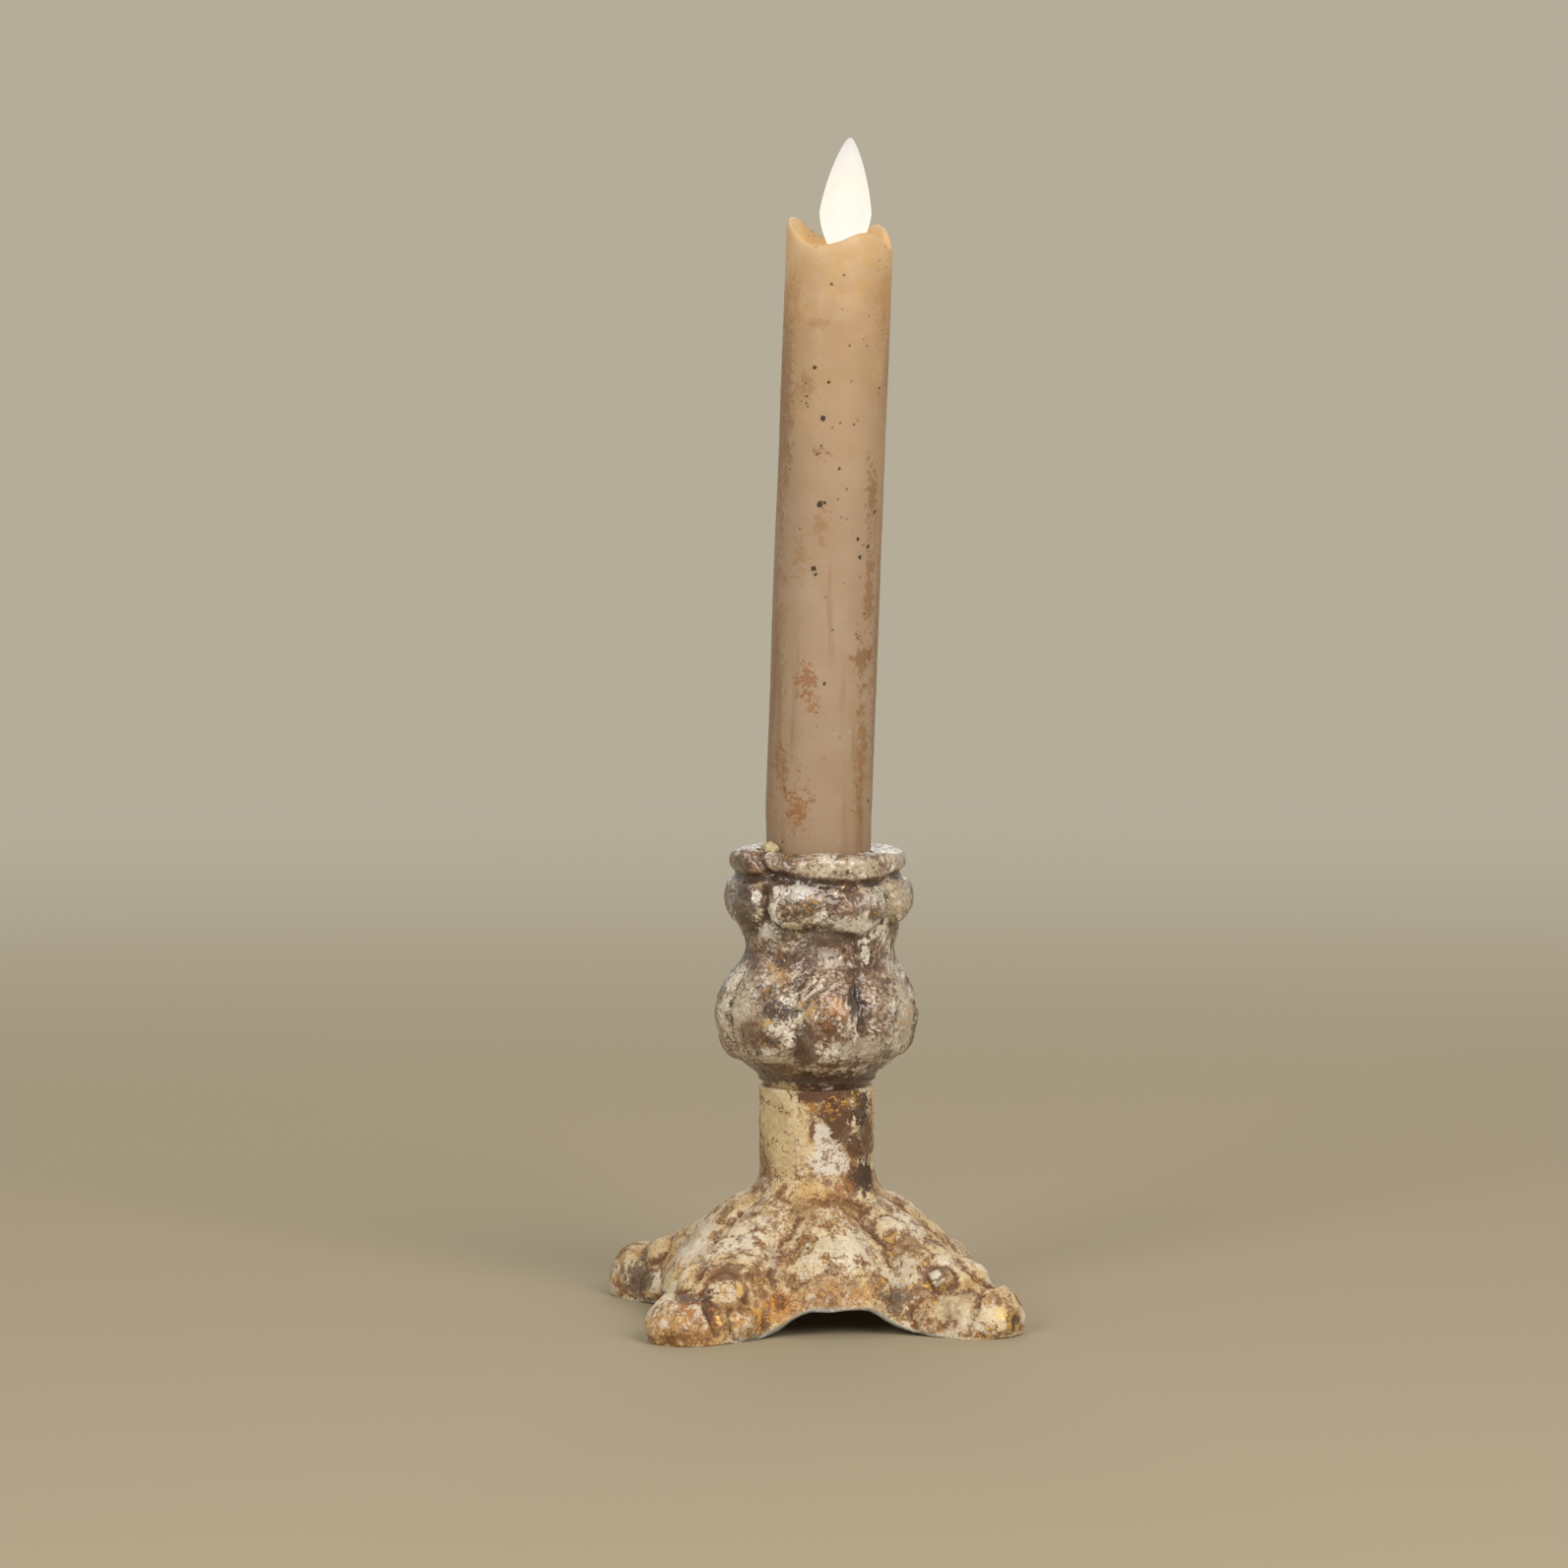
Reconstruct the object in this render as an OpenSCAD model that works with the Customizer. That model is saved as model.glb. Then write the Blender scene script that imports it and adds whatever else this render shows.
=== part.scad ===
// Four-footed taper candle holder with a leaning battery candle in its socket.
// The origin is on the table under the stem's axis, +Z is up and -Y faces the viewer.

/* [Foot] */
// Radius from the axis to the tip of a toe
toe_tip_r = 53; // [48:1:58]
// Radius from the axis to the skirt halfway between two feet
skirt_r = 32.5; // [30:0.5:35]
// Height of the arch between two feet
arch_h = 5.5; // [4:0.5:7]
// Height where the spread of the foot leaves the stem
spread_z = 33; // [31:0.5:36]
// Thickness of the pressed sheet
sheet_t = 1.2; // [0.8:0.1:1.4]

/* [Stem] */
// Outer radius of the stem
stem_r = 12; // [11.8:0.1:12.4]
// Thickness of the stem's wall
stem_wall = 1.4; // [1.2:0.1:1.6]
// Height of the stem's top, where the socket piece stands
stem_top = 48.5; // [47:0.1:52]
// Thickness of the plate that closes the stem's top
stem_plate = 2; // [1.5:0.5:3]

/* [Socket piece] */
// Height of the socket piece from the stem's top to its rim
socket_h = 49.7; // [48:0.1:52]
// Largest radius of the bulb
bulb_r = 21.3; // [20.5:0.1:22]
// Largest radius of the cup
cup_r = 19.5; // [19:0.1:20.5]
// Radius of the waist between the bulb and the cup
waist_r = 16.1; // [15.5:0.1:16.5]
// Radius of the rolled rim
rim_r = 18.4; // [18:0.1:19]
// Radius of the bore that takes the candle
bore_r = 11.8; // [11.7:0.1:12]
// Depth of the grooves between the petals and the swags
groove_depth = 1.4; // [0.8:0.1:1.8]

/* [Clamp] */
// Radius of the threaded stud
stud_r = 3; // [2.5:0.5:3]
// Depth of the tapped hole in the socket piece
tapped_depth = 14; // [12:1:18]
// Radius of the washer
washer_r = 8; // [7:0.5:9]
// Thickness of the washer
washer_t = 1.2; // [1:0.1:1.6]
// Height of the nut
nut_h = 5; // [4:0.5:6]
// Width across the nut's flats
nut_af = 10; // [9:0.5:11]

/* [Candle] */
// Radius of the candle
candle_r = 11; // [10.9:0.1:11.2]
// Mean height of the wavy wax rim above the candle's bottom
candle_h = 148; // [147.5:0.1:148.5]
// Lean of the candle towards the right, in degrees
lean = 2.1; // [0:0.1:2.5]
// Inner radius of the wax at the rim
wax_mouth_r = 9.6; // [9.2:0.1:9.9]
// Outer radius of the plastic core tube
core_r = 7.4; // [7.2:0.1:7.6]
// Wall of the plastic core tube
core_wall = 1; // [0.8:0.1:1]

/* [Flame] */
// Largest radius of the flame
flame_r = 5.5; // [5:0.1:5.8]
// Height of the flame's widest place above its pivot
flame_belly = 12.5; // [12:0.5:14]
// Height of the flame's tip above its pivot
flame_tip = 27.9; // [26:0.1:30]
// Radius of the flame's neck
neck_r = 1.6; // [1.4:0.1:1.8]
// Tilt of the flame at rest, in degrees from the candle's axis
flame_tilt = 1.6; // [0:0.1:2]
// Wall of the hollow flame
flame_wall = 0.7; // [0.5:0.1:0.9]
// Radius of the wire that the flame hangs on
wire_r = 0.4; // [0.3:0.05:0.4]

/* [Battery end] */
// Radius of a cell
cell_r = 5.25; // [5:0.05:5.3]
// Length of a cell with its positive stud
cell_h = 44.5; // [44:0.1:44.6]
// Thickness of the cap's flange
cap_flange = 2; // [1.8:0.1:2]
// Height of the cap with its plug
cap_h = 12; // [11:0.5:12]
// Travel of the switch knob
switch_travel = 3; // [2:0.5:3]
// Angle of the bayonet from locked to open, in degrees
bayonet_turn = 30; // [20:5:30]

/* [Hidden] */
$fn = 72;
over = 1;                     // how far a cutting shape runs past what it cuts
columns = 96;                 // points round the foot
socket_columns = 72;          // points round the socket piece

// Foot
feet = 4;
foot_step = 360 / feet;
first_foot = 45;
foot_spread = 14.5;           // half angle over which a leg fades into the skirt
leg_spread = 15;              // half angle over which a leg's ridge fades into the panel
arch_start = 15;              // angle from a leg's axis where the skirt leaves the table
arch_full = 36;               // angle from a leg's axis where the arch is at its full height
stem_end_z = spread_z - 6.5;  // the stem's lower end, just through the foot's collar
buried_r = stem_r - 0.7;      // the spread starts inside the stem's wall
inner_top_r = stem_r - stem_wall + 0.2;
// Outlines from the stem down to the table, with one point of the panel's for each of the leg's
leg_outline = [[buried_r, spread_z], [12.6, 28.8], [14.6, 26.2], [18.6, 24.7], [25, 20.5], [30, 17.3],
    [35, 15], [39.5, 12.3], [42.4, 9.8], [45.6, 10.4], [49.4, 8.8], [52, 5.9], [toe_tip_r, 2.8],
    [toe_tip_r - 1.2, 0]];
panel_outline = [[buried_r, spread_z], [12.6, 28.8], [14.2, 26.2], [18, 24.3], [21.4, 21.5], [25, 18.6],
    [27.6, 15.9], [29.3, 13.6], [30.5, 11.6], [31.3, 9.8], [31.9, 8.4], [32.2, 7.2], [skirt_r, 6.2],
    [skirt_r, arch_h]];
curve_steps = 2;
panel_groove = 27;            // angle from a leg's axis of the groove beside the panel
panel_groove_w = 6;
panel_groove_depth = 1.3;

// Socket piece
socket_z = stem_top;
rim_z = socket_z + socket_h;
rim_half_h = 2.7;
socket_floor = 28.7;          // height of the socket's floor above the piece's foot
petal_edge = 19.5;            // half angle of a narrow petal
socket_outline = [[11.5, 0], [12.1, 1], [15, 3.5], [18.5, 7.2], [bulb_r - 0.7, 10.9], [bulb_r, 15.9],
    [bulb_r - 1.4, 20.9], [waist_r + 0.8, 25.8], [waist_r, 28.9], [waist_r + 1, 32.2],
    [cup_r - 0.6, 36.3], [cup_r, 39.1], [rim_r + 0.2, 42.6], [rim_r - 0.4, 44.4],
    [rim_r, socket_h - rim_half_h - 0.6], [rim_r - 0.5, socket_h - 0.9], [rim_r - 2.9, socket_h],
    [bore_r + 1, socket_h - 0.9]];

// Clamp
stem_plate_z = stem_top - stem_plate;
stud_hole_r = stud_r + 0.3;
stud_up = tapped_depth - 1;
stud_end = 1;

// Candle, measured up its own axis from its bottom
candle_x = -0.375;
candle_z = socket_z + socket_floor + 0.45;
seat_gap = 0.2;               // between the cap's flange and the wax
bulkhead_w = 110;
bulkhead_t = 2;
cup_w = 134;
cup_top = 143;
cup_plate = 2;
cup_hole_r = 3.3;
recess_r = 8.6;
// Waves of the wax rim: how many round the candle, how high, and where the first crest is
rim_waves = [[1, 1.43, 124.3], [2, 0.84, -25.3], [3, 1.67, 40.6], [4, 0.47, 33.5]];
wave_top = 156;
led_x = -4.9;
led_r = 1.4;
led_w = 139.4;
led_h = 3.4;
lead_r = 0.25;
lead_x = -5.8;
lead_gap = 0.8;
board_w = 113.5;
board_t = 1;
board_r = 6.2;
bobbin_h = 6.5;
bobbin_r = 4;
bobbin_core_r = 1.5;
bobbin_flange = 0.7;
chip = [4, 3, 1.2];
contact_t = 0.5;
contact_r = 3;
cell_stud_r = 1.9;
cell_stud_h = 1;
cell_top_w = bulkhead_w - contact_t;
strip_x = 5.6;
strip_t = 0.3;
strip_w = 3;
strip_bottom = 13;

// Flame
pivot_x = 0.4;
pivot_w = 140;
wire_hole_r = wire_r + 0.05;
wire_half = 6.8;
flame_foot = 3;               // height above the pivot where the flame swells from its neck
neck_below = 1.5;
tail_r = 0.9;
tail_len = 13;
magnet_r = 2.8;
magnet_h = 4;
vent_r = 0.6;                 // moulding vent at the back of the flame
vent_up = 8;

// Battery end
flange_r = candle_r - 0.2;
plug_r = core_r - core_wall - 0.3;
plug_in_r = 5;
lug_w = 8;
lug_h = 2;
lug_r = 6.9;
lug_angle = 20;
lug_room = 0.3;
lug_play = 4;                 // angle left free at each side of a lug
lug_slot_r = 7.1;
spring_low_r = 3.6;
spring_top_r = 2.4;
spring_wall = 0.6;
switch_box = [8.4, 4.6, 4];
switch_slot = [5.2, 1.2, 1.5];
knob = [2.6, 2.4, 1.5];
knob_neck = [1.6, 0.8, 1.2];
knob_window = [6.2, 3];
knob_w = 0.4;

// Angle between a direction and the nearest of the directions first, first + step, and so on
function off_axis(a, first, step) = abs((((a - first) % step) + 1.5 * step) % step - step / 2);

// A smooth curve through a list of points, with n steps from each point to the next
function bend(a, b, c, d, t) = b + t * (c - a) / 2 + t * t * (a - 2.5 * b + 2 * c - d / 2)
    + t * t * t * (1.5 * b - 1.5 * c + (d - a) / 2);
function smooth_curve(p, n) = concat([for (i = [0:len(p) - 2]) for (k = [0:n - 1])
    bend(p[max(i - 1, 0)], p[i], p[i + 1], p[min(i + 2, len(p) - 1)], k / n)], [p[len(p) - 1]]);

function smooth_step(x) = x <= 0 ? 0 : x >= 1 ? 1 : x * x * (3 - 2 * x);
function unit(v) = v / norm(v);

// Faces between rings of n points each; the last ring joins the first where closed is true
function ring_faces(count, n, closed) = [for (j = [0:count - (closed ? 1 : 2)]) for (i = [0:n - 1])
    let (a = j * n + i, b = j * n + (i + 1) % n, up = ((j + 1) % count) * n)
    for (face = [[a, b, up + i], [b, up + (i + 1) % n, up + i]]) face];

// A tube-like solid whose rings run down over its outside and back up along its inside
module looped_rings(rings) {
    n = len(rings[0]);
    polyhedron(points = [for (r = rings) each r], faces = ring_faces(len(rings), n, true));
}

// A solid of stacked rings, from the top one down, with a flat face at each end
module stacked_rings(rings) {
    n = len(rings[0]);
    last = (len(rings) - 1) * n;
    polyhedron(points = [for (r = rings) each r], faces = concat(ring_faces(len(rings), n, false),
        [[for (i = [n - 1:-1:0]) i]], [[for (i = [0:n - 1]) last + i]]));
}

// Foot: each outline as shares of the way out to the skirt and up to the spread
function as_shares(outline, edge_r, edge_z) = [for (q = smooth_curve(outline, curve_steps))
    [(q.x - buried_r) / (edge_r - buried_r), (q.y - edge_z) / (spread_z - edge_z)]];
leg_shares = as_shares(leg_outline, toe_tip_r, 0);
panel_shares = as_shares(panel_outline, skirt_r, arch_h);
last_ring = len(leg_shares) - 1;

function skirt_radius(off) = skirt_r + (toe_tip_r - skirt_r) * exp(-pow(off / foot_spread, 3));
function skirt_height(off) = arch_h * smooth_step((off - arch_start) / (arch_full - arch_start));

// The point of ring k in direction a; the rings run from the stem down to the skirt's edge
function foot_point(k, a) =
    let (off = off_axis(a, first_foot, foot_step), ridge = exp(-pow(off / leg_spread, 2.4)),
        share = ridge * leg_shares[k] + (1 - ridge) * panel_shares[k],
        r = buried_r + (skirt_radius(off) - buried_r) * share.x,
        groove = panel_groove_depth * exp(-pow((off - panel_groove) / panel_groove_w, 2))
            * smooth_step((share.x - 0.3) / 0.3) * smooth_step((1 - share.x) / 0.15),
        edge = skirt_height(off))
    [r * cos(a), r * sin(a), edge + (spread_z - edge) * share.y - groove];

// The same point on the inside of the sheet
function foot_inside(k, a) =
    let (p = foot_point(k, a), r = norm([p.x, p.y]), da = 0.5,
        out = unit(cross(foot_point(min(k + 1, last_ring), a) - foot_point(max(k - 1, 0), a),
            foot_point(k, a + da) - foot_point(k, a - da))))
    k == last_ring ? [p.x, p.y, 0] * (r - sheet_t) / r + [0, 0, p.z]
    : k == 0 ? [inner_top_r * cos(a), inner_top_r * sin(a), spread_z]
    : p - sheet_t * out;

// The pressed foot ends in a collar, which is brazed round the stem's lower end
module foot_base() {
    turn = [for (i = [0:columns - 1]) i * 360 / columns];
    color("burlywood") difference() {
        looped_rings(concat([for (k = [0:last_ring]) [for (a = turn) foot_point(k, a)]],
            [for (k = [last_ring:-1:0]) [for (a = turn) foot_inside(k, a)]]));
        translate([0, 0, -over]) cylinder(r = stem_r, h = spread_z + 2 * over);
    }
}

// The stem: a tube with a plate across its top, drilled for the stud
module stem_tube() {
    color("tan") translate([0, 0, stem_end_z]) difference() {
        cylinder(r = stem_r, h = stem_top - stem_end_z);
        translate([0, 0, -over]) cylinder(r = stem_r - stem_wall, h = stem_plate_z - stem_end_z + over);
        cylinder(r = stud_hole_r, h = stem_top - stem_end_z + over);
    }
}

// Socket piece: grooves between swags round the cup, and between petals round the bulb
function socket_groove(a, h) =
    let (off = off_axis(a, 0, foot_step),
        swag = exp(-pow((45 - off) / 7, 2)) * smooth_step((h - 31) / 4) * smooth_step((43.5 - h) / 3),
        petal = exp(-pow((off - petal_edge) / 5, 2)) * smooth_step((h - 4) / 5)
            * smooth_step((27 - h) / 5))
    groove_depth * (swag + petal);

module socket_baluster() {
    outline = smooth_curve(socket_outline, 2);
    color("rosybrown") translate([0, 0, socket_z]) difference() {
        stacked_rings([for (k = [len(outline) - 1:-1:0]) let (q = outline[k])
            [for (i = [0:socket_columns - 1])
                let (a = i * 360 / socket_columns, r = q.x - socket_groove(a, q.y))
                [r * cos(a), r * sin(a), q.y]]]);
        translate([0, 0, socket_floor]) cylinder(r = bore_r, h = socket_h);
        translate([0, 0, -over]) cylinder(r = stud_r, h = tapped_depth + over);
    }
}

module threaded_stud() {
    bottom = stem_plate_z - washer_t - nut_h - stud_end;
    color("silver") translate([0, 0, bottom]) cylinder(r = stud_r, h = stem_top + stud_up - bottom);
}

module clamp_washer() {
    color("darkgray") translate([0, 0, stem_plate_z - washer_t]) difference() {
        cylinder(r = washer_r, h = washer_t);
        translate([0, 0, -over]) cylinder(r = stud_hole_r, h = washer_t + 2 * over);
    }
}

module clamp_nut() {
    color("silver") translate([0, 0, stem_plate_z - washer_t - nut_h]) difference() {
        cylinder(r = nut_af / 2 / cos(30), h = nut_h, $fn = 6);
        translate([0, 0, -over]) cylinder(r = stud_r, h = nut_h + 2 * over);
    }
}

// A lump of candle fixing wax on the rim, at the candle's front left
module fixing_wax() {
    lump_r = 1.7;
    lump_at = candle_r + lump_r + 0.35;
    lump_turn = 214;
    color("linen") translate([lump_at * cos(lump_turn), lump_at * sin(lump_turn), rim_z + 0.5])
        sphere(r = lump_r);
}

module on_candle() {
    translate([candle_x, 0, candle_z]) rotate([0, lean, 0]) children();
}

function rim_wave(a) = candle_h + rim_sum(a, len(rim_waves) - 1);
function rim_sum(a, k) = k < 0 ? 0
    : rim_waves[k][1] * cos(rim_waves[k][0] * (a - rim_waves[k][2])) + rim_sum(a, k - 1);

module wax_shell() {
    foot = cap_flange + seat_gap;
    turn = [for (i = [0:$fn - 1]) i * 360 / $fn];
    hub = core_r - 2;
    past = candle_r + 2;
    corners = [[hub, false], [past, false], [past, true], [hub, true]];
    color("tan") on_candle() difference() {
        rotate_extrude() polygon([[core_r, foot], [candle_r, foot], [candle_r, wave_top - 1],
            [wax_mouth_r, wave_top - 1], [recess_r, cup_top], [core_r, cup_top]]);
        looped_rings([for (c = corners) [for (a = turn)
            [c[0] * cos(a), c[0] * sin(a), c[1] ? rim_wave(a) : wave_top]]]);
    }
}

// An arc of a ring, from one angle to another
module ring_arc(inner, outer, h, from, to) {
    rotate([0, 0, from]) rotate_extrude(angle = to - from)
        translate([inner, 0]) square([outer - inner, h]);
}

module core_tube() {
    foot = cap_flange + seat_gap;
    in_r = core_r - core_wall;
    color("ivory") on_candle() difference() {
        translate([0, 0, foot]) cylinder(r = core_r, h = cup_w - foot);
        translate([0, 0, foot - over]) cylinder(r = in_r, h = bulkhead_w - foot + over);
        translate([0, 0, bulkhead_w + bulkhead_t]) cylinder(r = in_r, h = cup_w);
        translate([strip_x - 0.1, -strip_w / 2 - 0.1, bulkhead_w - over])
            cube([strip_t + 0.2, strip_w + 0.2, bulkhead_t + 2 * over]);
        for (side = [0, 180]) {
            translate([0, 0, lug_w - lug_room])
                ring_arc(in_r - 0.2, lug_slot_r, lug_h + 2 * lug_room, side - lug_angle / 2 - lug_play,
                    side + bayonet_turn + lug_angle / 2 + lug_play + 1);
            translate([0, 0, foot - over])
                ring_arc(in_r - 0.3, lug_slot_r - 0.05, lug_w - foot + 2 * over,
                    side + bayonet_turn - lug_angle / 2 - lug_play,
                    side + bayonet_turn + lug_angle / 2 + lug_play);
        }
    }
}

module pivot_cup() {
    in_r = core_r - core_wall;
    color("ivory") on_candle() difference() {
        translate([0, 0, cup_w]) cylinder(r = core_r, h = cup_top - cup_w);
        translate([0, 0, cup_w - over]) cylinder(r = in_r, h = cup_top - cup_w - cup_plate + over);
        translate([0, 0, cup_w]) cylinder(r = cup_hole_r, h = cup_top - cup_w + over);
        translate([led_x, 0, cup_w]) cylinder(r = led_r, h = cup_top - cup_w + over);
        translate([pivot_x, wire_half, pivot_w]) rotate([90, 0, 0])
            cylinder(r = wire_r, h = 2 * wire_half);
    }
}

module pivot_wire() {
    color("silver") on_candle() translate([pivot_x, wire_half, pivot_w]) rotate([90, 0, 0])
        cylinder(r = wire_r, h = 2 * wire_half);
}

module led() {
    color("lightyellow") on_candle() translate([led_x, 0, led_w]) {
        cylinder(r = led_r, h = led_h);
        translate([0, 0, led_h]) sphere(r = led_r);
    }
}

module lead_wires() {
    low = board_w + board_t;
    color("firebrick") on_candle() for (side = [-1, 1])
        translate([lead_x, side * lead_gap, low]) cylinder(r = lead_r, h = led_w - low);
}

module coil_bobbin() {
    color("whitesmoke") on_candle() translate([0, 0, board_w + board_t]) rotate_extrude()
        polygon([[0, 0], [bobbin_r, 0], [bobbin_r, bobbin_flange], [bobbin_core_r, bobbin_flange],
            [bobbin_core_r, bobbin_h - bobbin_flange], [bobbin_r, bobbin_h - bobbin_flange],
            [bobbin_r, bobbin_h], [0, bobbin_h]]);
}

module coil_winding() {
    color("peru") on_candle() translate([0, 0, board_w + board_t + bobbin_flange]) difference() {
        cylinder(r = bobbin_r - 0.4, h = bobbin_h - 2 * bobbin_flange);
        translate([0, 0, -over]) cylinder(r = bobbin_core_r, h = bobbin_h);
    }
}

module circuit_board() {
    color("seagreen") on_candle() translate([0, 0, board_w]) cylinder(r = board_r, h = board_t);
}

module control_chip() {
    color("dimgray") on_candle() translate([-chip.x / 2, -chip.y / 2, board_w - chip.z]) cube(chip);
}

module positive_contact() {
    color("goldenrod") on_candle() translate([0, 0, cell_top_w]) cylinder(r = contact_r, h = contact_t);
}

// One cell, with its positive stud upwards
module cell(bottom) {
    on_candle() translate([0, 0, bottom]) {
        cylinder(r = cell_r, h = cell_h - cell_stud_h);
        cylinder(r = cell_stud_r, h = cell_h);
    }
}

module battery_upper() color("darkslategray") cell(cell_top_w - cell_h);
module battery_lower() color("darkslategray") cell(cell_top_w - 2 * cell_h);

module negative_strip() {
    color("silver") on_candle() translate([strip_x, -strip_w / 2, strip_bottom])
        cube([strip_t, strip_w, board_w - strip_bottom]);
}

module on_flame() {
    on_candle() translate([pivot_x, 0, pivot_w]) rotate([0, flame_tilt, 0]) children();
}

// The flame's outline, swelling from the neck and tapering to the tip, drawn in by a wall
function flame_swell(wall) = [for (k = [0:12]) let (q = 1 - k / 12)
    [neck_r + (flame_r - neck_r) * (1 - pow(q, 1.8)) - wall,
        flame_belly - (flame_belly - flame_foot) * q]];
function flame_taper(wall) = [for (k = [1:19]) let (t = k / 20)
    [flame_r * pow(1 - pow(t, 1.85), 0.85) - wall, flame_belly + (flame_tip - flame_belly) * t]];

// The flame's outline runs up its outside, then down the inside of its hollow
module flame() {
    outer = concat([[0, -tail_len], [tail_r, -tail_len], [tail_r, -neck_below - 1],
        [neck_r, -neck_below]], flame_swell(0), flame_taper(0), [[0, flame_tip]]);
    hollow = [for (q = concat(flame_swell(flame_wall), flame_taper(flame_wall)))
        if (q.x > 0.3 && q.y > flame_foot + 1) q];
    back = [for (k = [len(hollow) - 1:-1:0]) hollow[k]];
    color("lemonchiffon") on_flame() difference() {
        rotate_extrude() polygon(concat(outer, [[0, back[0].y + flame_wall / 2]], back,
            [[0, hollow[0].y]]));
        translate([0, 2 * neck_r, 0]) rotate([90, 0, 0]) cylinder(r = wire_hole_r, h = 4 * neck_r);
        translate([0, flame_r, vent_up]) rotate([90, 0, 0]) cylinder(r = vent_r, h = flame_r - over);
    }
}

module tail_magnet() {
    color("slategray") on_flame() translate([0, 0, -tail_len - magnet_h])
        cylinder(r = magnet_r, h = magnet_h);
}

module battery_cap() {
    color("ivory") on_candle() {
        difference() {
            union() {
                cylinder(r = flange_r, h = cap_flange);
                cylinder(r = plug_r, h = cap_h);
                for (side = [0, 180]) translate([0, 0, lug_w])
                    ring_arc(plug_r - 0.5, lug_r, lug_h, side - lug_angle / 2, side + lug_angle / 2);
            }
            translate([0, 0, cap_flange]) cylinder(r = plug_in_r, h = cap_h);
            translate([-knob_window.x / 2, -knob_window.y / 2, -over])
                cube([knob_window.x, knob_window.y, cap_flange + 2 * over]);
        }
    }
}

// The battery spring stands on a floor plate across the cap's plug
module battery_spring() {
    low = cap_h - 1;
    top = cell_top_w - 2 * cell_h - seat_gap;
    color("silver") on_candle() {
        translate([0, 0, low]) cylinder(r = plug_in_r, h = 0.6);
        translate([0, 0, low + 0.6]) rotate_extrude()
            polygon([[spring_low_r - spring_wall, 0], [spring_low_r, 0],
                [spring_top_r, top - low - 0.6], [spring_top_r - spring_wall, top - low - 0.6]]);
    }
}

module switch_body() {
    color("black") on_candle() translate([0, 0, cap_flange]) difference() {
        translate([-switch_box.x / 2, -switch_box.y / 2, 0]) cube(switch_box);
        translate([-switch_slot.x / 2, -switch_slot.y / 2, -over])
            cube([switch_slot.x, switch_slot.y, switch_slot.z + over]);
    }
}

module switch_knob() {
    color("gray") on_candle() translate([-switch_travel / 2, 0, knob_w]) {
        translate([-knob.x / 2, -knob.y / 2, 0]) cube(knob);
        translate([-knob_neck.x / 2, -knob_neck.y / 2, knob.z - 0.1]) cube(knob_neck);
    }
}

foot_base();
stem_tube();
socket_baluster();
threaded_stud();
clamp_washer();
clamp_nut();
fixing_wax();
wax_shell();
core_tube();
pivot_cup();
pivot_wire();
led();
lead_wires();
coil_bobbin();
coil_winding();
circuit_board();
control_chip();
positive_contact();
battery_upper();
battery_lower();
negative_strip();
flame();
tail_magnet();
battery_cap();
battery_spring();
switch_body();
switch_knob();
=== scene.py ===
# %% [markdown]
# # A four-footed taper candle holder with a battery candle
# The real object is a small holder of pressed sheet steel with a cast socket piece bolted on its stem, both
# finished to look old: rust and umber, then chalky paint rubbed back, then a little gold wax. A battery
# candle with a real wax skin stands in the socket and leans a little to the right, and its lit flame hangs
# on a wire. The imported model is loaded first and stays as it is. Every piece made here takes the place of
# one of its nodes, or is a better finish on one.

# %% Load the frame
import math

import bpy
import numpy as np
from mathutils import Matrix, Vector, noise


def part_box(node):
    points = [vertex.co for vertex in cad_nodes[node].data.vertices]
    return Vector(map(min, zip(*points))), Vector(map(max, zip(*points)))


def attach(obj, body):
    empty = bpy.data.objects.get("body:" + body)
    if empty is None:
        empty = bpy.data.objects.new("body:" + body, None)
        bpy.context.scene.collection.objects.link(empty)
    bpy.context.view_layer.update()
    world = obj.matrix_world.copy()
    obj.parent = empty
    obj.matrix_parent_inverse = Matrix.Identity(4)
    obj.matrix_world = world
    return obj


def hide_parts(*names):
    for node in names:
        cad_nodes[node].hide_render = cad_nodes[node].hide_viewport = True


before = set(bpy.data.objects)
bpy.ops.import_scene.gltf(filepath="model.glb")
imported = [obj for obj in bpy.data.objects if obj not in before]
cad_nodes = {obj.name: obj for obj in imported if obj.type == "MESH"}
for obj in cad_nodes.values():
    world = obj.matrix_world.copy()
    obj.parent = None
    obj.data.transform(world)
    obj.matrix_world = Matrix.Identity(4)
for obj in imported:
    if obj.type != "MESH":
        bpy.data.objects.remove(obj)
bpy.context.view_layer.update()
MM = 0.001

# %% [markdown]
# ## Camera
# The camera comes first, because every judgement of shape and colour is made through it. The photo was
# taken from 1.4 m with a long lens, a little left of the holder's front and at the height of the candle's
# middle, looking slightly down. The numbers came from fitting the solids' outline to the photo's.

# %% Camera
CAMERA_DISTANCE = 1.4
CAMERA_HEIGHT = 0.2221
CAMERA_TURN = math.radians(8.46)
LOOK_TURN = math.radians(8.18)
LOOK_DOWN = math.radians(4.52)

camera_data = bpy.data.cameras.new("photo_camera")
camera_data.lens = 154.8
camera_data.sensor_width = 36
camera_data.clip_start, camera_data.clip_end = 0.01, 50
camera = bpy.data.objects.new("photo_camera", camera_data)
bpy.context.scene.collection.objects.link(camera)
camera.location = (-CAMERA_DISTANCE * math.sin(CAMERA_TURN), -CAMERA_DISTANCE * math.cos(CAMERA_TURN),
                   CAMERA_HEIGHT)
look = Vector((math.sin(LOOK_TURN) * math.cos(LOOK_DOWN), math.cos(LOOK_TURN) * math.cos(LOOK_DOWN),
               -math.sin(LOOK_DOWN)))
camera.rotation_euler = look.to_track_quat("-Z", "Y").to_euler()
bpy.context.scene.camera = camera
bpy.context.scene.view_settings.view_transform = "Standard"
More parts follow.
